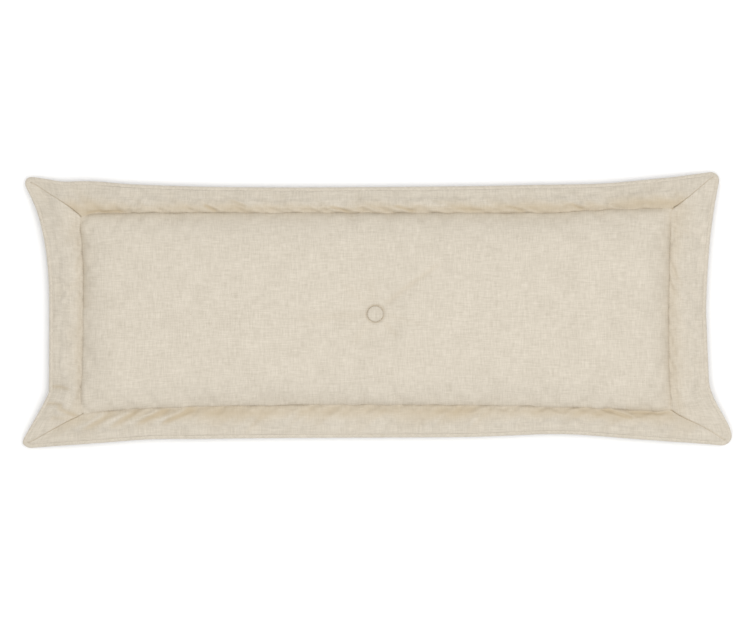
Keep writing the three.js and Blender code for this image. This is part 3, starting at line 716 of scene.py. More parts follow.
def cloth_material(name, light, dark, shade_tint, fleck, thread, slub):
    material, w, shader = new_material(name)
    place = w.node("Attribute", {"attribute_name": "cloth"}).outputs["Vector"]
    painted_shade = w.node("Attribute", {"attribute_name": "painted_shade"}).outputs["Fac"]
    cloth = w.group(weave, Cloth=place, Thread=thread, Slub=slub)
    colour = w.mix(w.spread(cloth.outputs["Tone"], 0.2, 0.7), dark, light)
    # Painted shade: the colour is drawn towards the darker tan given for it, as far as the piece's painted
    # shade share goes.
    colour = w.mix(w.math("MULTIPLY", painted_shade, 0.85), colour, shade_tint)
    colour = w.mix(w.math("MULTIPLY", cloth.outputs["Fleck"], 0.6), colour, fleck)
    w.feed_all(shader, Base_Color=colour, Normal=w.bump(cloth.outputs["Height"], 0.5, 0.22 * MM),
               Roughness=w.spread(cloth.outputs["Tone"], 0.2, 0.8, 0.95, 0.82),
               Sheen_Weight=0.12, Sheen_Roughness=0.5, Specular_IOR_Level=0.25)
    return material


linen = cloth_material("linen", light=(0.632, 0.574, 0.482, 1), dark=(0.485, 0.435, 0.354, 1),
                       shade_tint=(0.480, 0.393, 0.268, 1), fleck=(0.300, 0.235, 0.155, 1),
                       thread=0.62 * MM, slub=1.0)
fit(front_panel, linen, "linen", "front_panel")

# ---- The cover's border: four mitred strips ----
# The same linen, a strip to each side, seamed to the panel and to each other on the mitres. Each is
# softly padded and gathered along the inner seam, and its outer edge holds the piping.
SIDES = {"rear": (0, 1), "right": (1, 0), "front": (0, -1), "left": (-1, 0)}
HEM_INSET = 4.9 * MM  # where the strips' cloth ends, on the piping's shoulder


def strip_points(out, along, across):
    """Pattern points of one side's strip: along it from mitre to mitre (-1 to 1), across it from the seam
    to the hem (0 to 1)."""
    axis = 0 if out[0] else 1
    reach = PANEL[axis] + BORDER[axis] * across
    run = along * (PANEL[1 - axis] + BORDER[1 - axis] * across)
    return out[1] * run + out[0] * reach, -out[0] * run + out[1] * reach


def strip_grid(out, step, first, last):
    axis = 0 if out[0] else 1
    count = int(round(2 * PANEL[1 - axis] / step))
    ends = 1 - np.array([0, 0.8, 1.6, 2.6, 4.0]) * MM / PANEL[1 - axis]
    along = np.concatenate([-ends, np.linspace(-ends[-1], ends[-1], count)[1:-1], ends[::-1]])
    share = np.linspace(0, 1, int(round(BORDER[axis] / step)) + 1)
    across = first + (last - first) * (share - 0.11 * np.sin(2 * np.pi * share))
    return np.meshgrid(along, np.clip(across, first, last), indexing="ij")


for number, (side, out) in enumerate(SIDES.items()):
    axis = 0 if out[0] else 1
    along, across = strip_grid(out, step=1.9 * MM, first=0, last=1 - HEM_INSET / BORDER[axis])
    u, v = strip_points(out, along, across)
    to_seam, to_pipe = across * BORDER[axis], (1 - across) * BORDER[axis] - HEM_INSET
    to_mitre = (1 - np.abs(along)) * (PANEL[1 - axis] + BORDER[1 - axis] * across)
    middle = front_face(u, v)
    middle[..., 2] -= dip(to_seam, TUCK) + dip(to_mitre, 1.2 * MM, 1.3 * MM) + dip(to_pipe, 0.25 * MM)
    thickness = CLOTH * (1 - dip(to_pipe, 0.8, 1.6 * MM))[..., None] * [0, 0, 0.5]
    run = u if axis else v
    slant = run + number + 0.8 * to_seam
    # Painted shade: a darker tan standing in for the shade in the fold beside the seam, along the mitres
    # and in the gathers. It ends raggedly, and lies deeper along the long sides.
    ragged = 1 + 0.26 * wander(slant, 16 * MM, 31) + 0.18 * wander(slant, 7 * MM, 32)
    ragged = (27 if side == "front" else 22) * MM * ragged
    patchy = 0.85 + 0.3 * wander(run + number, 60 * MM, 33)
    shade_amount = (0.95 if axis else 0.38) * np.exp(-np.abs(to_seam / ragged) ** 2.4) * patchy
    shade_amount = shade_amount * (0.6 + 0.4 * smooth(to_seam / (15 * MM))) + 0.5 * dip(to_mitre, 1, 1.2 * MM)
    shade_amount = shade_amount + (0.15 * puckers(u, v) + 0.5 * folds(u, v)) / (1.5 * MM)
    strip = layer(f"border_{side}_cloth", middle + thickness, middle - thickness,
                  on_cloth(v if out[0] else u, u if out[0] else v, 1 + number), shade_amount)
    fit(strip, linen, "linen", f"border_{side}")

# ---- The border's padding: a strip of wadding to each side ----
# Polyester fibre laid loose between the border's two cloths, stopped by the seam and by the piping's
# turnings. It is lumpy, and it thins towards the mitres.
FIBRE_ROOM = 1.1 * MM
PADDING_FROM, PADDING_TO = 0.14, 0.66  # shares of the border's width


def fibre_group():
    """Loose fibres: a tangle that stands up in tufts."""
    group, given, out = group_nodes("fibres", [("Place", "Vector", None)],
                                    [("Tone", "Float", None), ("Height", "Float", None)])
    w = Wiring(group)
    place = given.outputs["Place"]
    warp = w.noise(place, 60.0)
    sway = w.stretched(w.node("CombineXYZ", X=warp, Y=warp, Z=warp).outputs[0], (0.02, -0.015, 0.01))
    bent = w.node("VectorMath", {"operation": "ADD"})
    for socket, vector in zip(bent.inputs, (place, sway)):
        w.feed(socket, vector)
    tangle = w.weighed(*[(w.drawn_noise(bent.outputs[0], scale, 3.0, 0.3, 0.7), 0.5)
                         for scale in ((180.0, 1500.0, 700.0), (1500.0, 200.0, 600.0))])
    tuft = w.noise(place, 140.0, 3.0)
    w.feed_all(out, Tone=w.weighed((tangle, 0.6), (tuft, 0.4)),
               Height=w.weighed((tangle, 0.4), (tuft, 0.6)))
    return group


fibres = fibre_group()


def fibre_material(name, light, dark, depth):
    material, w, shader = new_material(name)
    fluff = w.group(fibres, Place=w.object_place())
    w.feed_all(shader, Base_Color=w.mix(w.spread(fluff.outputs["Tone"], 0.25, 0.75), dark, light),
               Normal=w.bump(fluff.outputs["Height"], 0.7, depth), Roughness=0.95,
               Sheen_Weight=0.4, Specular_IOR_Level=0.2)
    return material


wadding = fibre_material("wadding", light=(0.88, 0.87, 0.84, 1), dark=(0.72, 0.71, 0.67, 1), depth=1.2 * MM)

for number, (side, out) in enumerate(SIDES.items()):
    along, across = strip_grid(out, step=3.2 * MM, first=PADDING_FROM, last=PADDING_TO)
    u, v = strip_points(out, along * 0.985, across)
    to_edge = np.minimum(across - PADDING_FROM, PADDING_TO - across) / 0.12
    edge = np.clip(np.minimum(to_edge, (1 - np.abs(along)) * 18), 0, 1)
    plump = np.sqrt(1 - (1 - edge) ** 2) * 0.85 + 0.1
    top, bottom = front_face(u, v), back_face(u, v)
    reach = (top - bottom) / 2 * plump[..., None]
    reach[..., 2] -= np.minimum(FIBRE_ROOM, reach[..., 2] * 0.8)
    above, below = (top + bottom) / 2 + reach, (top + bottom) / 2 - reach
    for face, seed in ((above, 41 + number), (below, 51 + number)):
        face[..., 2] += 0.25 * MM * ripple(u, v, 9 * MM, seed)
    fill = layer(f"border_wadding_{side}_fill", above, below, on_cloth(u, v, 9))
    fit(fill, wadding, "wadding", f"border_wadding_{side}")

# ---- The cover's back: two sheets that meet at the zip ----
# The same linen in one sheet from hem to hem, cut in two along the sloping flank at the front, turned
# under there and topstitched to the zip's tapes.
zip_low, zip_high = (np.array(corner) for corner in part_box("zip_tape_front"))
ZIP_REACH = (zip_high[0] - zip_low[0]) / 2
ZIP_LINE = -PANEL[1] + FLANK / 2
SLOT_HALF = 4.6 * MM  # half the slot that shows the zip, seen from below
SLIT_HALF = 0.2 * MM  # half of what is left between the two sheets beyond the zip
STITCHED = SLOT_HALF + 4 * MM  # from the zip's middle line to its topstitching
SLOPE = math.atan2(BACK_SEAM, FLANK)


def slot_edge(u):
    """How far the cloth stands back from the zip's middle line."""
    beside = smooth((ZIP_REACH + 6 * MM - np.abs(u)) / (5 * MM))
    return SLIT_HALF + (SLOT_HALF - SLIT_HALF) * beside


end_columns = np.linspace(HALF[0] - HEM_INSET, PANEL[0], 29)[:-1]
across_pad = spaced(PANEL[0], fine=2.0 * MM, coarse=3.0 * MM, edge=46 * MM)
back_columns = np.concatenate([-end_columns, across_pad, end_columns[::-1]])
flank_rows = np.concatenate([np.linspace(0, 6 * MM, 6), np.linspace(6 * MM, FLANK / 2, 7)[1:]])
border_rows = np.linspace(0, BORDER[1] - HEM_INSET, 20)[1:]
seat_from, seat_to = ZIP_LINE + FLANK / 2, PANEL[1]
seat_rows = spaced((seat_to - seat_from) / 2, fine=2.0 * MM, coarse=3.0 * MM, edge=44 * MM)[1:]
seat_rows = seat_rows + (seat_to + seat_from) / 2
rear_rows = np.concatenate([ZIP_LINE + flank_rows, seat_rows, PANEL[1] + border_rows])
front_rows = np.concatenate([ZIP_LINE - flank_rows, -PANEL[1] - border_rows])[::-1]


def back_edges(u, v):
    """Distances to the piping and to the stitched line round the panel."""
    to_pipe = np.minimum(HALF[0] - np.abs(u), HALF[1] - np.abs(v)) - HEM_INSET
    seams = np.minimum(*[np.abs(np.abs(p) - reach) + FAR * (np.abs(q) > other)
                         for p, q, reach, other in ((u, v, *PANEL), (v, u, *PANEL[::-1]))])
    return to_pipe, seams


def back_cloth(u, v, way):
    """The middle of the back's cloth, way telling the zip's rear side from its front."""
    to_pipe, seams = back_edges(u, v)
    middle = back_face(u, v)
    middle[..., 2] += dip(to_pipe, 0.6 * MM) + dip(seams, 0.9 * MM)
    # The turned edge beside the zip is double, and the cloth ripples over the stitching.
    beside = bell(np.abs(v - ZIP_LINE) - STITCHED, 4 * MM) * smooth((ZIP_REACH - np.abs(u)) / (8 * MM))
    middle[..., 2] -= beside * (0.5 + 0.35 * wander(u + way, 7 * MM, 61)) * MM
    middle[..., 2] = np.maximum(middle[..., 2], CLOTH / 2)
    return middle


for name, rows, way, number in (("back_panel", rear_rows, 1, 6), ("back_zip_panel", front_rows, -1, 7)):
    u, v = np.meshgrid(back_columns, rows, indexing="ij")
    v = v + way * slot_edge(u) * np.clip(1 - np.abs(v - ZIP_LINE) / (14 * MM), 0, 1)
    to_pipe, seams = back_edges(u, v)
    middle = back_cloth(u, v, way)
    # Painted shade along the stitched seams and beside the piping.
    shade_amount = 0.5 * dip(seams, 1, 4 * MM) + 0.35 * dip(to_pipe, 1, 2.5 * MM)
    back = layer(f"{name}_cloth", middle + HALF_CLOTH, middle - HALF_CLOTH, on_cloth(u, v, number), shade_amount)
    if way > 0:
        pierce(back)
    fit(back, linen, "linen", name)
    flat_width = float(np.ptp(girth(back_face(0 * rows, rows)[..., 2], rows)))

# ---- The piping: a bias strip folded round a cotton cord ----
# The same linen cut on the cross, wrapped round a soft three-ply cord, with both turnings caught in
# the hem. It is a little uneven, and its ends lap in the middle of the front.
PIPE_CLOTH = 0.6 * MM
CORD_RADIUS = PIPE / 2 - PIPE_CLOTH - GAP
STATION = 2.0 * MM
LAP = 9 * MM
WELD = 0.002 * MM


def round_angles(count):
    return np.linspace(0, 2 * np.pi, count + 1)[:-1]


def turn_outward(weld=False, cap=False):
    """Makes the active solid's faces point outwards, once its seam is welded and its open ends capped."""
    bpy.ops.object.mode_set(mode="EDIT")
    bpy.ops.mesh.select_all(action="SELECT")
    if weld:
        bpy.ops.mesh.remove_doubles(threshold=WELD)
    if cap:
        bpy.ops.mesh.fill_holes(sides=0)
    bpy.ops.mesh.normals_make_consistent(inside=False)
    bpy.ops.object.mode_set(mode="OBJECT")


def swept(name, sections, closed, cloth=None, painted_shade=None):
    """A solid with the same closed section of points at every station along a route."""
    def wrapped(values):
        values = np.concatenate([values, values[:, :1]], axis=1)
        return np.concatenate([values, values[:1]]) if closed else values

    rounds = wrapped(sections)
    piece = flat_grid(name, rounds.shape)
    i, j = crossings(piece, rounds.shape)
    on_piece = wrapped(sections if cloth is None else cloth)[i, j]
    carry(piece, on_piece, None if painted_shade is None else wrapped(painted_shade)[i, j])
    move_points(piece, rounds[i, j])
    turn_outward(weld=True, cap=not closed)
    bpy.ops.object.shade_smooth_by_angle(angle=SMOOTH_ANGLE)
    return piece


def hem_points(turns, insets, rises):
    """Points round the hem: turns go from 0 to 4, a whole number at each corner."""
    place = np.zeros((*insets.shape, 3))
    for number, out in enumerate(SIDES.values()):
        on_side = np.floor(turns).astype(int) % 4 == number
        axis = 0 if out[0] else 1
        run = (2 * (turns[on_side] % 1) - 1)[:, None] * (HALF[1 - axis] - insets[on_side])
        reach = HALF[axis] - insets[on_side]
        u, v = out[1] * run + out[0] * reach, -out[0] * run + out[1] * reach
        place[on_side] = np.stack([*drawn_in(u, v), border_middle(u, v) + rises[on_side]], axis=-1)
    return place


side_counts = [int(2 * HALF[k] / STATION) for k in (0, 1, 0, 1)]
turns = np.concatenate([number + np.arange(count) / count for number, count in enumerate(side_counts)])
run = np.concatenate([number * 1.2 + np.arange(count) * STATION
                      for number, count in enumerate(side_counts)])
# Its section runs along the upper turning, round the outside, along the lower turning and back inside.
low, high = GAP / 2, GAP / 2 + PIPE_CLOTH
outer_radius, inner_radius = PIPE / 2, PIPE / 2 - PIPE_CLOTH
first, last = math.asin(high / outer_radius), math.asin(low / inner_radius)
outside = np.linspace(first, 2 * math.pi - first, 19)
inside = np.linspace(last, 2 * math.pi - last, 13)[::-1]
around = np.concatenate([[0], outside, [0, 0], inside, [0]])
radius = np.concatenate([[0], 0 * outside + outer_radius, [0, 0], 0 * inside + inner_radius, [0]])
is_turning = radius == 0
station, lap = run[:, None], np.exp(-(((turns - 2.5) * 2 * HALF[0] / LAP) ** 4))[:, None]
spiral = np.sin(2 * np.pi * station / (5.5 * MM) + 2 * around)
uneven = 1 + 0.03 * wander(run, 9 * MM, 71)[:, None] + 0.06 * lap + 0.012 * spiral
insets = np.where(is_turning, PIPE + TURNING, PIPE / 2 + radius * np.cos(around) * np.minimum(uneven, 1.02))
turning_rise = np.concatenate([[high], 0 * outside, [-high, -low], 0 * inside, [low]])
rises = np.where(is_turning, turning_rise, radius * np.sin(around) * uneven)
round_cloth = np.cumsum(np.concatenate([[0], np.hypot(np.diff(insets[0]), np.diff(rises[0]))]))
on_strip, round_strip = np.meshgrid(run, round_cloth, indexing="ij")
bias = on_cloth((on_strip + round_strip) / math.sqrt(2), (on_strip - round_strip) / math.sqrt(2), 11)
# Painted shade where the wrap tucks in under the border, and at the edges of the lap.
crevice_shade = 0.05 * smooth((insets - 4.6 * MM) / (1.2 * MM)) + 0.3 * lap * (np.abs(lap - 0.5) < 0.35)
piping = swept("piping_wrap_cloth", hem_points(turns, insets, rises), True, bias, crevice_shade)
fit(piping, linen, "linen", "piping_wrap")

turn = round_angles(12)
plies = CORD_RADIUS * (0.86 + 0.13 * np.abs(np.cos(1.5 * (turn + run[:, None] / (3.6 * MM)))))
laid_in = hem_points(turns, PIPE / 2 + plies * np.cos(turn), plies * np.sin(turn))
cord = swept("piping_cord_plies", laid_in, True)
cotton = fibre_material("cotton", light=(0.80, 0.76, 0.66, 1), dark=(0.62, 0.57, 0.46, 1), depth=0.4 * MM)
fit(cord, cotton, "piping_cord", "piping_cord")

# ---- The insert: foam between two sheets of wadding, in a calico case ----
# A slab of pale polyether foam with rounded edges, wrapped above and below in polyester wadding, and
# closed in a thin calico case sewn round its edge, which comes out through the zip.
CASE_INSET = 3 * MM
WADDING_INSET = 10 * MM
FOAM_INSET = 16 * MM
CASE_CLOTH = 0.6 * MM
UNDER_COVER = CLOTH / 2 + GAP
OVER_ZIP = 4.8 * MM
WADDING_ABOVE = 8 * MM
WADDING_BELOW = 6 * MM
THINNEST = 3 * MM  # of the foam, at its corners


def case_heights(u, v, upper):
    """The outer face of the calico case, above or below: from its edge seam it runs out to the cover."""
    lying = np.clip((np.minimum(*inset(u, v)) - CASE_INSET) / (WADDING_INSET - CASE_INSET), 0, 1)
    if upper:
        return between(SEAM + GAP / 2 + CASE_CLOTH, front_face(u, v)[..., 2] - UNDER_COVER, lying)
    clear = between(UNDER_COVER, OVER_ZIP, smooth((30 * MM - np.abs(v - ZIP_LINE)) / (12 * MM)))
    return between(SEAM - GAP / 2 - CASE_CLOTH, back_face(u, v)[..., 2] + clear, lying)


def foam_heights(u, v, upper):
    under = back_face(u, v)[..., 2] + OVER_ZIP + CASE_CLOTH + GAP + WADDING_BELOW
    over = front_face(u, v)[..., 2] - UNDER_COVER - CASE_CLOTH - GAP - WADDING_ABOVE
    return np.maximum(over, under + THINNEST) if upper else under


def slab(name, edge, number, step, heights, above, below):
    """A layer of the insert, pierced for the twine. heights gives the levels of its two faces, and above
    and below the faces of the cover that they follow sideways."""
    lines = [spaced(reach - edge, step * 0.6, step, 18 * MM) for reach in PANEL]
    u, v = np.meshgrid(*lines, indexing="ij")
    faces = [face(u, v) for face in (above, below)]
    for face, height in zip(faces, heights(u, v)):
        face[..., 2] = height
    piece = layer(name, *faces, on_cloth(u, v, number))
    pierce(piece)
    return piece


def rounded(u, v, edge, reach, upper, lower):
    """Draws two faces together at the edge, so that it is rounded."""
    share = np.clip((np.minimum(*inset(u, v)) - edge) / reach, 0, 1)
    plump = 0.45 + 0.55 * np.sqrt(1 - (1 - share) ** 2)
    middle = (upper + lower) / 2
    return between(middle, upper, plump), between(middle, lower, plump)


def foam_faces(u, v):
    full = [foam_heights(u, v, upper) for upper in (True, False)]
    upper, lower = rounded(u, v, FOAM_INSET, 7 * MM, *full)
    worn = [0.15 * MM * (1 + ripple(u, v, 6 * MM, seed)) for seed in (81, 82)]
    return upper - worn[0], lower + worn[1]


def wadding_faces(upper):
    def faces(u, v):
        over_foam = np.clip((np.minimum(*inset(u, v)) - FOAM_INSET + 3 * MM) / (3 * MM), 0, 1)
        lumps = 0.35 * MM * (1 + ripple(u, v, 8 * MM, 83 + upper))
        case, foam = case_heights(u, v, upper), foam_heights(u, v, upper)
        if upper:
            return case - CASE_CLOTH - GAP - lumps, between(SEAM, foam, over_foam) + GAP
        return between(SEAM, foam, over_foam) - GAP, case + CASE_CLOTH + GAP + lumps
    return faces


calico = cloth_material("calico", light=(0.83, 0.77, 0.64, 1), dark=(0.72, 0.65, 0.51, 1),
                        shade_tint=(0.6, 0.52, 0.38, 1), fleck=(0.34, 0.25, 0.14, 1), thread=0.5 * MM, slub=0.6)
for name, upper in (("insert_case_top", True), ("insert_case_bottom", False)):
    def case_faces(u, v):
        outer = case_heights(u, v, upper)
        return (outer, outer - CASE_CLOTH) if upper else (outer + CASE_CLOTH, outer)

    follows = front_face if upper else back_face
    case = slab(f"{name}_cloth", CASE_INSET, 12 + upper, 3.4 * MM, case_faces, follows, follows)
    fit(case, calico, "calico", name)

for name, upper in (("wadding_top", True), ("wadding_bottom", False)):
    follows = front_face if upper else back_face
    batt = slab(f"{name}_fill", WADDING_INSET, 14, 3.8 * MM, wadding_faces(upper), follows, follows)
    fit(batt, wadding, "wadding", name)

foam = slab("foam_slab", FOAM_INSET, 15, 4.0 * MM, foam_faces, front_face, back_face)
foam_paint, w, shader = new_material("polyether_foam")
place = w.object_place()
pores = w.node("TexVoronoi", {"feature": "F1"}, Vector=place, Scale=900.0).outputs["Distance"]
yellowed = w.noise(place, 14.0, 3.0)
grain = w.weighed((w.spread(pores, 0.1, 0.6), 0.7), (w.noise(place, 500.0), 0.3))
aged = w.spread(w.weighed((grain, 0.4), (yellowed, 0.6)), 0.25, 0.75)
w.feed_all(shader, Base_Color=w.mix(aged, (0.70, 0.58, 0.30, 1), (0.86, 0.78, 0.52, 1)),
           Normal=w.bump(grain, 0.6, 0.8 * MM), Roughness=0.9)
fit(foam, foam_paint, "foam", "foam_core")

# ---- The zip: two coils on woven tapes, their stops, the slider and its pull ----
# A closed nylon coil zip let into the flank: each coil is one filament wound round the edge of its
# tape, its loops lying between those of the other. The slider and its pull are cast alloy.
COIL_PITCH = 1.3 * MM
FILAMENT = 0.25 * MM
ZIP_PLACE = (Vector((0, ZIP_LINE, BACK_SEAM / 2)), math.pi - SLOPE)


def zip_point(x, y, z):
    """A point of the zip's own frame, whose Z points out of the flank, in the pad's."""
    origin, turn = ZIP_PLACE
    return np.stack([x, origin[1] + y * math.cos(turn) - z * math.sin(turn),
                     origin[2] + y * math.sin(turn) + z * math.cos(turn)], axis=-1)


tape_cloth = cloth_material("zip_tape", light=(0.66, 0.59, 0.48, 1), dark=(0.52, 0.45, 0.35, 1),
                            shade_tint=(0.42, 0.35, 0.25, 1), fleck=(0.5, 0.43, 0.33, 1),
                            thread=0.42 * MM, slub=0.5)
nylon, w, shader = new_material("nylon")
milky = w.noise(w.stretched(w.object_place(), (1.0, 4.0, 4.0)), 300.0)
clouded = w.spread(milky, 0.3, 0.7)
w.feed_all(shader, Base_Color=w.mix(clouded, (0.50, 0.43, 0.33, 1), (0.62, 0.55, 0.44, 1)),
           Roughness=w.spread(milky, 0.3, 0.7, 0.35, 0.55), Coat_Weight=0.15)


def scuffed_metal():
    """Cast or rolled metal that has been handled: cloudy and finely scratched."""
    group, given, out = group_nodes(
        "scuffed_metal", [("Place", "Vector", None)],
        [("Wear", "Float", None), ("Roughness", "Float", None), ("Height", "Float", None)])
    w = Wiring(group)
    place = given.outputs["Place"]
    cloudy = w.noise(place, 260.0, 4.0)
    scratched = w.math("MAXIMUM", *[w.drawn_noise(place, scale, 1.0, 0.58, 0.66)
                                    for scale in ((300.0, 5200.0, 2600.0), (4300.0, 260.0, 1900.0))])
    polish = w.spread(cloudy, 0.3, 0.7, 0.28, 0.46)
    w.feed_all(out, Wear=w.weighed((cloudy, 0.8), (scratched, 0.2)),
               Roughness=w.weighed((polish, 1.0), (scratched, 0.12)),
               Height=w.weighed((cloudy, 0.6), (scratched, -0.4)))
    return group


scuffs = scuffed_metal()


def metal_material(name, light, dark):
    material, w, shader = new_material(name)
    worn = w.group(scuffs, Place=w.object_place())
    w.feed_all(shader, Base_Color=w.mix(w.spread(worn.outputs["Wear"], 0.25, 0.75), dark, light),
               Roughness=worn.outputs["Roughness"], Normal=w.bump(worn.outputs["Height"], 0.25, 0.05 * MM),
               Metallic=1)
    return material


alloy = metal_material("zip_alloy", light=(0.66, 0.61, 0.52, 1), dark=(0.42, 0.38, 0.31, 1))
COIL_INNER, COIL_OUTER = -0.12 * MM, 2.95 * MM
COIL_LOW, COIL_HIGH = -0.9 * MM, 1.0 * MM
COIL_REACH = ZIP_REACH - 6 * MM
COIL_STEPS = 10  # to each loop
TAPE_LOW, TAPE_THICK = -1.6 * MM, 0.5 * MM
TAPE_INNER, TAPE_OUTER = 0.65 * MM, 13.65 * MM
TAPE_BEAD, TAPE_GROOVE = 13.2 * MM, 3.6 * MM  # the woven edge, and the line where the coil is sewn on


def wire_sections(centre, outward, radius, count):
    """Round sections along a wire, each in the plane of the direction given as outward and of X."""
    around = round_angles(count)[None, :, None]
    ring = np.cos(around) * outward[:, None] + np.sin(around) * np.array([1, 0, 0])
    return centre[:, None] + radius * ring


for side, way in (("rear", -1), ("front", 1)):
    x, y = np.meshgrid(np.linspace(-ZIP_REACH, ZIP_REACH, 245),
                       np.linspace(TAPE_INNER, TAPE_OUTER, 15)[::way] * way, indexing="ij")
    y = y + way * 0.15 * MM * wander(x + way, 9 * MM, 91) * smooth((np.abs(y) - 6 * MM) / (6 * MM))
    groove = np.abs(y) - TAPE_GROOVE
    bead = 0.12 * MM * (bell(np.abs(y) - TAPE_BEAD, 0.7 * MM) - 0.6 * bell(groove, 0.5 * MM))
    over = zip_point(x, y, TAPE_LOW + TAPE_THICK + np.minimum(bead, 0.1 * MM))
    # Painted shade along the groove where the coil is sewn on.
    tape = layer(f"zip_tape_{side}_woven", over, zip_point(x, y, TAPE_LOW + 0 * x),
                 on_cloth(x, y, 16), 0.5 * bell(groove, 0.6 * MM))
    turn_outward()
    fit(tape, tape_cloth, "zip_tape", f"zip_tape_{side}")

    wind = np.arange(int(2 * COIL_REACH / COIL_PITCH) * COIL_STEPS + 1) / COIL_STEPS
    angle = 2 * np.pi * wind
    half_width = (COIL_OUTER - COIL_INNER) / 2 - FILAMENT
    half_height = (COIL_HIGH - COIL_LOW) / 2 - FILAMENT
    centre = np.stack([-COIL_REACH + (wind + 0.25 * way) * COIL_PITCH,
                       way * ((COIL_OUTER + COIL_INNER) / 2 + half_width * np.cos(angle)),
                       (COIL_HIGH + COIL_LOW) / 2 + half_height * np.sin(angle)], axis=-1)
    outward = np.stack([0 * angle, way * np.cos(angle), np.sin(angle)], axis=-1)
    section = wire_sections(centre, outward, FILAMENT, 5)
    coil = swept(f"zip_coil_{side}_filament", zip_point(*np.moveaxis(section, -1, 0)), False)
    fit(coil, nylon, "zip_nylon", f"zip_coil_{side}")

STOP_PLACE = ZIP_REACH - 3.5 * MM
STOP_LENGTH, STOP_HEIGHT = 3 * MM, 2.2 * MM
for name, x, y, width in (("zip_top_stop_rear", STOP_PLACE, -1.8 * MM, 2.3 * MM),
                          ("zip_top_stop_front", STOP_PLACE, 1.8 * MM, 2.3 * MM),
                          ("zip_bottom_stop", -STOP_PLACE, 0, 5.9 * MM)):
    bpy.ops.mesh.primitive_cube_add(size=1)
    stop = bpy.context.object
    stop.name = f"{name}_clamp"
    stop.dimensions = (STOP_LENGTH, width, STOP_HEIGHT)
    bpy.ops.object.transform_apply(location=False, rotation=False, scale=True)
    bpy.ops.object.mode_set(mode="EDIT")
    bpy.ops.mesh.select_all(action="SELECT")
    bpy.ops.mesh.bevel(offset=0.45 * MM, segments=3)
    bpy.ops.object.mode_set(mode="OBJECT")
    # The crimp has nipped its top in at the middle.
    points = mesh_points(stop)
    points[:, 1] *= 1 - 0.12 * (points[:, 2] > 0) * np.cos(points[:, 0] / (STOP_LENGTH / 2) * np.pi / 2)
    points += [x, y, COIL_LOW + STOP_HEIGHT / 2]
    move_points(stop, zip_point(*points.T))
    bpy.ops.object.shade_smooth_by_angle(angle=math.radians(40))
    fit(stop, alloy, "zip_alloy", name)

for name in ("zip_slider", "zip_pull_tab"):
    cast = bpy.data.objects[name]
    cast.data.materials.clear()
    cast.data.materials.append(alloy)

# The two rows of topstitching that hold the turned edges to the tapes. Each thread dives through the
# cloth between its stitches.
STITCH = 3.2 * MM
THREAD = 0.22 * MM


def thread_row(name, x, y, surface):
    """A row of stitches along x, in the cloth's outer face, whose height surface gives."""
    dive = np.clip(np.abs((x / STITCH) % 1 - 0.5) * 2, 0, 1) ** 6
    lie = surface - THREAD * 0.6 + 0.75 * MM * dive
    around = round_angles(6)
    ring = np.stack([0 * around, np.cos(around), np.sin(around)], axis=-1) * THREAD
    return swept(name, np.stack([x, y, lie], axis=-1)[:, None] + ring[None], False)


thread_paint = cloth_material("thread", light=(0.74, 0.66, 0.53, 1), dark=(0.6, 0.52, 0.4, 1),
                              shade_tint=(0.4, 0.33, 0.22, 1), fleck=(0.5, 0.42, 0.3, 1),
                              thread=0.2 * MM, slub=1.0)
x = np.arange(-ZIP_REACH + 2 * MM, ZIP_REACH - 2 * MM, STITCH / 8)
for side, way in (("rear", 1), ("front", -1)):
    v = ZIP_LINE + way * STITCHED + 0 * x
    placed = back_cloth(x, v, way)
    stitches = thread_row(f"zip_stitching_{side}", placed[:, 0], placed[:, 1], placed[:, 2] - CLOTH / 2)
    fit(stitches, thread_paint, "linen")

# ---- The tuft: a covered button above and below, tied together through the pad ----
# Each button is a pressed steel shell with linen drawn over it, closed by a plate that carries a wire
# eye. A doubled waxed twine runs through both eyes and pulls the pad in.
BUTTON_SEGMENTS = 56
BRIM = 1.8 * MM  # the level of a button's widest line over its seat
PRESSED = 0.45 * MM  # the steel's thickness
EYE_RADIUS = 1.9 * MM
EYE_LEVEL = -0.2 * MM
WIRE = 0.5 * MM
TWINE = 0.6 * MM
steel = metal_material("button_steel", light=(0.62, 0.61, 0.59, 1), dark=(0.36, 0.35, 0.33, 1))


def turned(name, profile, seat, way, pleats=0.0):
    """A solid turned from a profile of radii and heights that runs from its crown round to its middle."""
    bpy.ops.object.select_all(action="DESELECT")
    bpy.ops.mesh.primitive_uv_sphere_add(segments=BUTTON_SEGMENTS, ring_count=len(profile) - 1, radius=1)
    piece = bpy.context.object
    piece.name = name
    points = mesh_points(piece)
    ring = np.rint(np.arccos(np.clip(points[:, 2], -1, 1)) / np.pi * (len(profile) - 1)).astype(int)
    azimuth = np.arctan2(points[:, 1], points[:, 0])
    radius, height = np.array(profile)[ring].T
    gathered = pleats * smooth((3.2 * MM - height) / (2.6 * MM)) * smooth(radius / (8 * MM))
    radius = radius * (1 + gathered * (np.cos(15 * azimuth) + 0.5 * np.cos(26 * azimuth + 1)))
    spread_out = np.where(ring < len(profile) / 2, 1, 0.8) * radius + (10 * MM) * (height < 1 * MM)
    # Painted shade low on the cover, round its pleated rim.
    carry(piece, on_cloth(spread_out * np.cos(azimuth) * 1.1, spread_out * np.sin(azimuth) * 1.1, 20),
          0.5 * smooth((1.6 * MM - height) / (1.4 * MM)) if pleats else None)
    placed = np.stack([radius * np.cos(azimuth), way * radius * np.sin(azimuth), way * height], axis=-1)
    move_points(piece, placed + [*TUFT, seat])
    turn_outward()
    bpy.ops.object.shade_smooth_by_angle(angle=SMOOTH_ANGLE)
    return piece


def dome(radius, height, count):
    """The profile of a dome, from its crown down to its brim, a little flatter than round."""
    angle = np.linspace(np.pi / 2, 0, count)
    return [(radius * math.cos(a) ** 0.9, BRIM + (height - BRIM) * math.sin(a)) for a in angle]


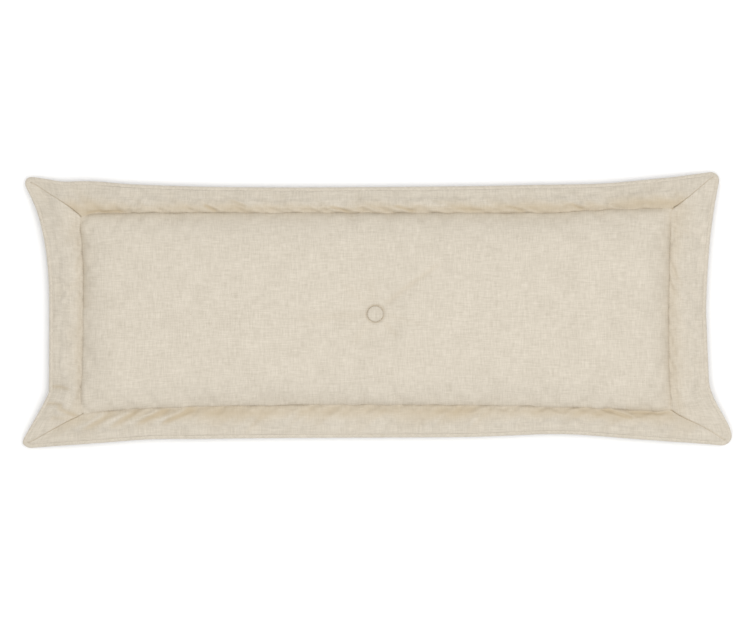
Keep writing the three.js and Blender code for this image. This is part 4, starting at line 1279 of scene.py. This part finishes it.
for face, way in (("front", 1), ("back", -1)):
    box_low, box_high = (np.array(corner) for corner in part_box(f"button_{face}_cover"))
    seat = box_low[2] if way > 0 else box_high[2]
    reach, rise = (box_high[0] - box_low[0]) / 2 - 0.9 * MM, box_high[2] - box_low[2]
    centre = (*TUFT, seat + way * EYE_LEVEL)
    lip = [(reach - inward * MM, level * MM)
           for inward, level in ((0, 1.1), (0.1, 0.5), (0.4, 0.12), (0.75, 0.02), (0.95, 0.1), (1.0, 0.35))]
    inner = dome(reach - CLOTH, rise - CLOTH, 12)[::-1]
    profile = dome(reach, rise, 18) + lip + inner
    cover = turned(f"button_{face}_cover_cloth", profile, seat, way, pleats=0.006)
    fit(cover, linen, "linen", f"button_{face}_cover")

    shell_reach, shell_rise = reach - CLOTH - GAP, rise - CLOTH - GAP
    inner = dome(shell_reach - PRESSED, shell_rise - PRESSED, 10)[::-1]
    rim = [(shell_reach - inward * MM, level * MM)
           for inward, level in ((0, 0.9), (0.08, 0.4), (0.4, 0.4), (0.45, 0.9))]
    profile = dome(shell_reach, shell_rise, 14) + rim + inner
    shell = turned(f"button_{face}_shell_pressing", profile, seat, way)
    fit(shell, steel, "button_metal", f"button_{face}_shell")

    plate_reach = shell_reach - 2 * PRESSED
    ribbed = [(plate_reach * s, (0.88 - 0.12 * math.cos(s * 5 * math.pi)) * MM)
              for s in np.linspace(0, 0.96, 14)]
    edge = [(plate_reach, 0.75 * MM), (plate_reach, 0.35 * MM)]
    under = [(plate_reach * s, 0.2 * MM) for s in np.linspace(0.97, 0, 8)]
    plate = turned(f"button_{face}_plate_pressing", ribbed + edge + under, seat, way)
    bpy.ops.mesh.primitive_torus_add(
        major_radius=EYE_RADIUS, minor_radius=WIRE + 0.2 * MM, major_segments=28, minor_segments=10,
        location=centre, rotation=(0, math.pi / 2, 0))
    cut_away(plate, bpy.context.object)
    fit(plate, steel, "button_metal", f"button_{face}_plate")

    angle = round_angles(40)
    out = np.stack([0 * angle, np.cos(angle), np.sin(angle)], axis=-1)
    wire = WIRE * (0.96 + 0.04 * np.cos(angle - np.pi / 2))[:, None, None]
    eye = swept(f"button_{face}_eye_wire", wire_sections(EYE_RADIUS * out + centre, out, wire, 10), True)
    fit(eye, steel, "button_metal", f"button_{face}_eye")

# The twine's route, across and up: over the top eye, down one side, under the lower eye and up again.
top_seat, under_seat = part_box("button_front_cover")[0][2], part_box("button_back_cover")[1][2]
loop = WIRE + TWINE + 0.2 * MM
top, under = top_seat + EYE_LEVEL - EYE_RADIUS, under_seat - EYE_LEVEL + EYE_RADIUS
bend = np.linspace(0, np.pi, 13)
fall = np.linspace(top, under, 62)[1:-1]
route = np.concatenate([np.stack(leg, axis=-1) for leg in (
    (loop * np.cos(bend), top + loop * np.sin(bend)), (0 * fall - loop, fall),
    (-loop * np.cos(bend), under - loop * np.sin(bend)), (0 * fall + loop, fall[::-1]))])
forward = np.roll(route, -1, axis=0) - np.roll(route, 1, axis=0)
forward /= np.linalg.norm(forward, axis=1, keepdims=True)
laid = np.cumsum(np.linalg.norm(np.diff(route, axis=0, append=route[:1]), axis=1))
turn = round_angles(12)
half_twists = round(laid[-1] / (3.4 * MM))
ply = TWINE * (0.80 + 0.19 * np.abs(np.cos(turn + laid[:, None] * half_twists * np.pi / laid[-1])))
sections = np.stack([route[:, None, 0] + ply * np.cos(turn) * forward[:, None, 1], ply * np.sin(turn),
                     route[:, None, 1] - ply * np.cos(turn) * forward[:, None, 0]], axis=-1)
twine = swept("tufting_twine_plies", sections + [*TUFT, 0], True)
waxed = fibre_material("waxed_twine", light=(0.72, 0.63, 0.46, 1), dark=(0.5, 0.42, 0.28, 1),
                       depth=0.15 * MM)
fit(twine, waxed, "twine", "tufting_twine")
